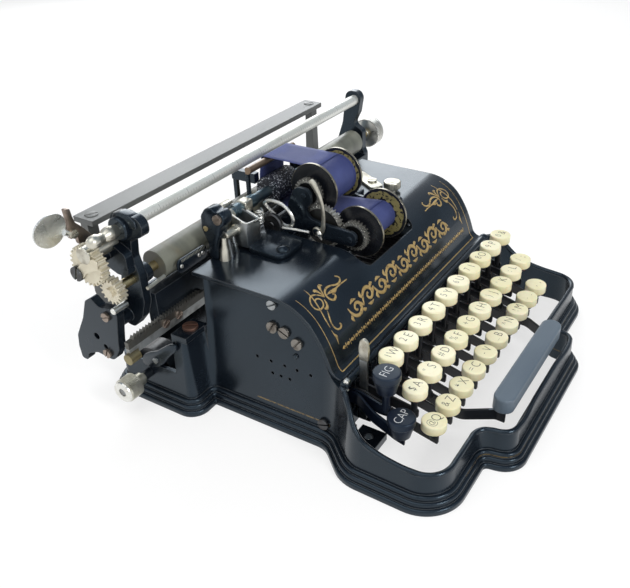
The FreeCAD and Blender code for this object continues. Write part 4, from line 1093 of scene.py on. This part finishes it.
def makeCarriageScrews():
    for name, (sizes, aim, rolls, finish, *places) in carriageScrews.items():
        for number, (roll, place) in enumerate(zip(rolls, places), 1):
            ending = f"_{number}" if len(places) > 1 else ""
            makeScrew(name + ending, sizes, place, aim, roll, finish, "carriage", "steel")


# black arm and its screw in the left pocket of the bed
pocketArm = {"x": -127.3, "pivot": (89.3, 33.2), "outline": (
    (102.7, 28.9), (100.8, 33.3), (95.9, 36.7), (88.8, 39.9), (82.1, 45.2), (75.6, 50.1), (69.7, 51.4),
    (70.6, 46.3), (77.3, 39.9), (83.0, 32.3), (89.7, 27.0), (97.5, 24.6), (101.9, 24.7))}


def makePocketArm():
    arm = moved(plate(pocketArm["outline"], 2.6, 2.0, 0.8), (pocketArm["x"], 0, 0))
    makePiece("pocket_arm", arm, "enamel", "base", "black_casting")
    place = (pocketArm["x"], *pocketArm["pivot"])
    makeScrew("pocket_screw", (2.0, 1.2, 0.7, 0.6, 0.4), place, leftward, 0.4, "steel", "base", "steel")


makeLeftEnd()
makeCarriageScrews()
makePocketArm()
print("carriage end made")

# type sleeve: its rod, and the bracket's pedestal, lobed left post, right post and paper scale
sleeveRod = ((-78, 0), (-78, 3.5), (-57, 3.6), (-56.6, 4.3), (-36, 4.3), (-35.6, 3.5), (26, 3.5), (26, 0))
sleeveHub = ((-75.6, 3.8), (-75.2, 5.6), (-73.0, 5.8), (-72.2, 4.6), (-70.0, 4.4), (-69.6, 5.4), (-66.6, 5.6),
    (-66, 4.2), (-60, 4.2), (-60, 3.8), (-75.6, 3.8))
bracketParts = {
    "pedestal": ((-67, 31.5), (-61, 28.4), (-45, 28.4), (-38, 33), (-38, 45), (38, 45), (38, 34.5),
        (48, 34.5), (48, 64), (-55, 64), (-67, 54)),
    "pedestalThick": 3.6, "postFrom": -84.5, "postThick": 9.0,
    "post": ((75.6, 111.5), (75.4, 120.5), (71.6, 125.8), (66.6, 127.2), (63.2, 124.8), (59.8, 126.0),
        (57.0, 123.2), (57.4, 118.0), (61.0, 114.0), (62.6, 108.0), (64.6, 102.0), (64.8, 92.5),
        (72.0, 92.5), (71.4, 102.0), (73.8, 107.4)),
    "rightPost": ((62, 92.5), (66, 92.5), (78, 104), (78, 118), (66, 118), (62, 106)), "rightPostFrom": 20.0,
    "scale": ((90, -107.5), (90, -80.5), (99, -80.5), (99, -107.5)), "scaleAt": 77.0,
}


def makeBracket():
    y, z = sleeve["y"], sleeve["z"]
    kit = bracketParts
    makeTurned("sleeve_rod", sleeveRod, 36, (0, y, z), rightward, "blueSteel", "sleeve_shaft", "steel",
        ("sleeve_shaft",))
    makeTurned("sleeve_hub", sleeveHub, 36, (0, y, z), rightward, "nickelDull", "base", "nickel")
    for name, shape in (
        ("bracket_pedestal", laidFlat(plate(kit["pedestal"], kit["pedestalThick"], 2.5, 0.9),
            caseSide["top"] - 0.1)),
        ("bracket_post", moved(plate(kit["post"], kit["postThick"], 1.6, 1.0), (kit["postFrom"], 0, 0))),
        ("bracket_right_post", moved(plate(kit["rightPost"], 4.0, 2.5, 0.7), (kit["rightPostFrom"], 0, 0))),
        ("paper_scale", stoodUp(plate(kit["scale"], 1.6, 3.2, 0.3), kit["scaleAt"])),
    ):
        makePiece(name, shape, "sleeveBracket", "base", "black_casting", ("sleeve_bracket",))
    for name, place, radius, height, finish in (("post_screw_1", (-84.5, 61.4, 121.0), 3.2, 1.6, "bronze"),
        ("post_screw_2", (-84.5, 71.8, 112.6), 1.7, 0.8, "brass")):
        makeScrew(name, (radius, height, 0.8, 0.6, 0.5), place, leftward, 0.5, finish, "base", "steel")
    for number, x in enumerate((-104.4, -88.0, -84.6), 1):
        makeTurned(f"scale_rivet_{number}", [(0, 0), (0, 1.4), (0.6, 1.1), (0.9, 0)], 16,
            (x, kit["scaleAt"], 94.6), forward, "nickel", "base", "nickel")


makeBracket()

# open yoke round the sleeve's rod, its block, spring, clamp disc and hoop, and the release levers before it
sleeveEnd = {
    "yoke": {"size": (14.2, 20.0, 17.0), "middle": (-59.1, 65.0, 103.0), "wall": 2.0, "deep": 13.0,
        "rise": 0.36, "fall": 0.17, "rim": ((-66.0, 74.6, 118.4), (-66.2, 65, 115.1), (-66.0, 56, 111.9),
            (-65, 55.0, 111.4), (-59, 54.8, 110.4), (-53, 55.0, 109.4), (-52.0, 56, 109.6),
            (-51.9, 65, 112.8))},
    "block": {"size": (8.0, 7.5, 8.0), "middle": (-46.6, 70.6, 113.0)},
    "lug": {"size": (11.0, 5.0, 2.4), "middle": (-60.4, 75.4, 118.4)},
    "spring": {"foot": (-42.6, 62.6, 100.0), "radius": 2.6, "rise": 0.5, "steps": 21},
    "hoopAt": -35.0, "bar": (56.6, 105.4),
    "link": ((-38.0, 48.0, 98.8), (-37.0, 40.0, 99.0), (-35.8, 28.5, 99.2)),
    "hoop": ((64.0, 111.4), (59.6, 114.0), (54.4, 114.4), (48.4, 113.0), (44.0, 110.0), (41.6, 106.0),
        (41.6, 102.4), (43.4, 99.8), (46.4, 99.0), (49.2, 99.3)),
    "fingers": (((-80.2, 62.0, 107.0), (-81.6, 61.6, 90.2), 1.9, 3.7, "nickelDull"),
        ((-76.4, 62.4, 106.0), (-75.2, 62.0, 91.4), 1.7, 2.3, "steel"),
        ((-71.8, 62.6, 104.2), (-68.8, 62.2, 90.8), 1.5, 1.8, "nickel")),
}


def beveledBlock(size, middle, edge):
    shape = bmesh.new()
    ops.create_cube(shape, size=1.0)
    ops.scale(shape, vec=size, verts=shape.verts)
    ops.translate(shape, vec=middle, verts=shape.verts)
    if edge:
        bevelled(shape, shape.edges[:], edge, 3)
    return shape


def makeYoke():
    kind = sleeveEnd["yoke"]
    shape = beveledBlock(kind["size"], kind["middle"], 0)
    top = kind["middle"][2] + kind["size"][2] / 2
    front = kind["middle"][1] - kind["size"][1] / 2
    left = kind["middle"][0] - kind["size"][0] / 2
    upper = [face for face in shape.faces if face.calc_center_median().z > top - 0.1]
    ops.inset_region(shape, faces=upper, thickness=kind["wall"], depth=0)
    pulled(shape, upper, (0, 0, -kind["deep"]))
    ops.delete(shape, geom=[face for face in upper if face.is_valid], context="FACES_ONLY")
    bevelled(shape, sharpEdges(shape), 0.6)
    for corner in shape.verts:
        if corner.co.z > top - 1:
            corner.co.z += kind["rise"] * (corner.co.y - front) - kind["fall"] * (corner.co.x - left)
    makePiece("sleeve_yoke", shape, "steel", "base", "nickel")
    makePiece("yoke_rim", bentRod(kind["rim"], 0.75, 2, 3), "nickel", "base", "nickel")
    for name in ("block", "lug"):
        kind = sleeveEnd[name]
        makePiece("yoke_" + name, beveledBlock(kind["size"], kind["middle"], 1.0), "nickelDull", "base",
            "nickel")
    coil = sleeveEnd["spring"]
    x, y, z = coil["foot"]
    turns = [(x + coil["radius"] * cos(step * pi / 2), y + coil["radius"] * sin(step * pi / 2),
        z + coil["rise"] * step) for step in range(coil["steps"])]
    makePiece("yoke_spring", bentRod(turns, 0.6, 1, 3), "nickel", "base", "nickel")


# turned pieces: profile, steps, place, way along, finish and slot
endTurned = {
    "clamp_disc": (((-40.0, 0), (-40.0, 1.4), (-39.6, 1.8), (-39.4, 6.6), (-38.8, 7.4), (-36.6, 7.4),
        (-36.6, 0)), 36, (0, 55.6, 99.6), rightward, "darkSteel", "steel"),
    "lever_block": (((-78.6, 0), (-78.6, 2.3), (-78, 2.9), (-68, 2.9), (-67.4, 3.6), (-62.4, 3.6), (-62, 3.1),
        (-62, 0)), 24, (0, 63.0, 106.4), rightward, "nickelDull", "nickel"),
    "pedestal_screw": (((0, 0), (0, 4.6), (1.2, 4.2), (2.4, 2.6), (2.9, 0)), 28,
        (-58.6, 33.4, 95.9), upward, "coverEnamel", "nickel"),
}
lipRivets = ((-39.7, 51.9, 2.0), (-39.9, 45.4, 1.1))


def makeSleeveEnd():
    x = sleeveEnd["hoopAt"]
    hoop = [(x, y, z) for y, z in sleeveEnd["hoop"]]
    bow = bentRod(hoop, 1.25, 2)
    bar = bentRod([hoop[0], (x, *sleeveEnd["bar"]), hoop[-1]], 1.15, 2)
    makePiece("clamp_hoop", joined(bow, bar), "nickel", "base", "nickel")
    makePiece("link_rod", bentRod(sleeveEnd["link"], 0.95, 2), "nickel", "base", "nickel")
    for name, (profile, steps, place, aim, finish, slot) in endTurned.items():
        makeTurned(name, profile, steps, place, aim, finish, "base", slot)
    for number, (top, foot, thin, thick, finish) in enumerate(sleeveEnd["fingers"], 1):
        aim = Vector(foot) - Vector(top)
        length = aim.length
        profile = [(0, 0), (0, thin), (length * 0.3, thin * 1.05), (length * 0.45, (thin + thick) / 2),
            (length * 0.95, thick), (length, thick * 0.8), (length, 0)]
        makeTurned(f"release_lever_{number}", profile, 24, top, aim, finish, "base", "nickel")
    for number, (y, z, radius) in enumerate(lipRivets, 1):
        profile = [(0, 0), (0, radius), (1.6, radius * 0.9), (2.4, radius * 0.5), (2.6, 0)]
        makeTurned(f"lip_rivet_{number}", profile, 20, (-104.2, y, z), leftward, "nickel", "base", "nickel")


makeYoke()
makeSleeveEnd()
print("sleeve end made")

# floor, world and lamps
studio = {"floor": 3.0, "floorAt": -0.0002, "floorGlow": 0.62, "ambient": 0.54, "soft": (0.97, 0.985, 1.0),
    "sky": (1.0, 1.0, 1.0), "zenith": (0.14, 0.20, 0.28), "skyTo": 0.22, "zenithFrom": 0.85,
    "dark": (0.27, 0.32, 0.365), "darkAim": (0.722, -0.692, 0.0), "darkFrom": 0.55, "darkTo": 0.92}
lamps = (
    {"name": "keyLamp", "place": (-0.5, 0.1, 1.3), "size": 1.3, "power": 9.0, "colour": (1.0, 0.985, 0.96)},
    {"name": "backLamp", "place": (0.9, 0.8, 0.6), "size": 0.9, "power": 9.0, "colour": (0.95, 0.98, 1.0)},
    {"name": "frontLamp", "place": (-0.3, -1.1, 0.8), "size": 0.35, "power": 8.0, "colour": (1.0, 1.0, 1.0)},
)


def makeFloor():
    mesh = bpy.data.meshes.new("floor")
    shape = bmesh.new()
    ops.create_grid(shape, x_segments=2, y_segments=2, size=studio["floor"])
    ops.translate(shape, vec=(0, 0, studio["floorAt"]), verts=shape.verts)
    shape.to_mesh(mesh)
    shape.free()
    floor = addObject("floor", mesh)
    f = Finish("floorPaper")
    f.paint((0.93, 0.93, 0.93), 0.9, Specular_IOR_Level=0.0)
    seen = rays(f.tree, "Camera", "Glossy", "Singular")
    glow = f.node("Emission", values={"Color": (1.0, 1.0, 1.0), "Strength": 1.0})
    paper = Socket(f.tree, f.shader.outputs[0])
    share = f.node("MixShader", values={0: seen * studio["floorGlow"], 1: paper, 2: glow})
    f.tree.links.new(share.output, f.last.inputs[0])
    mesh.materials.append(f.material)


def makeWorld():  # white to the camera, and to mirrors a white room under a dark ceiling
    world = bpy.data.worlds.new("studio")
    bpy.context.scene.world = world
    world.use_nodes = True
    tree = world.node_tree
    tree.nodes.clear()
    aim = makeNode(tree, "TexCoord", output="Generated")
    height = makeNode(tree, "SeparateXYZ", values={0: aim}, output=2)
    ceiling = height.fade(studio["skyTo"], studio["zenithFrom"])
    facing = makeNode(tree, "VectorMath", {"operation": "DOT_PRODUCT"},
        {0: aim, 1: studio["darkAim"]}, "Value")
    far = facing.fade(studio["darkFrom"], studio["darkTo"]) * (height + 0.02).fade(-0.05, 0.05)
    room = mixed(tree, far, mixed(tree, ceiling, studio["sky"], studio["zenith"]), studio["dark"])
    pale = makeNode(tree, "Background", values={"Color": studio["sky"], "Strength": 1.0})
    mirror = makeNode(tree, "Background", values={"Color": room})
    dim = makeNode(tree, "Background", values={"Color": studio["soft"], "Strength": studio["ambient"]})
    bounced = makeNode(tree, "MixShader", values={0: rays(tree, "Glossy", "Transmission"), 1: dim, 2: mirror})
    shown = makeNode(tree, "MixShader", values={0: rays(tree, "Camera"), 1: bounced, 2: pale})
    tree.links.new(shown.output, tree.nodes.new("ShaderNodeOutputWorld").inputs[0])


def makeLamp(lamp):
    data = bpy.data.lights.new(lamp["name"], "AREA")
    data.size = lamp["size"]
    data.energy = lamp["power"]
    data.color = lamp["colour"]
    thing = addObject(lamp["name"], data)
    aim = Vector((0, 0, 0.05)) - Vector(lamp["place"])
    thing.rotation_mode = "QUATERNION"
    thing.rotation_quaternion = aim.to_track_quat("-Z", "Y")
    thing.location = lamp["place"]


makeFloor()
makeWorld()
for lamp in lamps:
    makeLamp(lamp)
bpy.context.scene.view_settings.view_transform = "Standard"
print("studio lit")
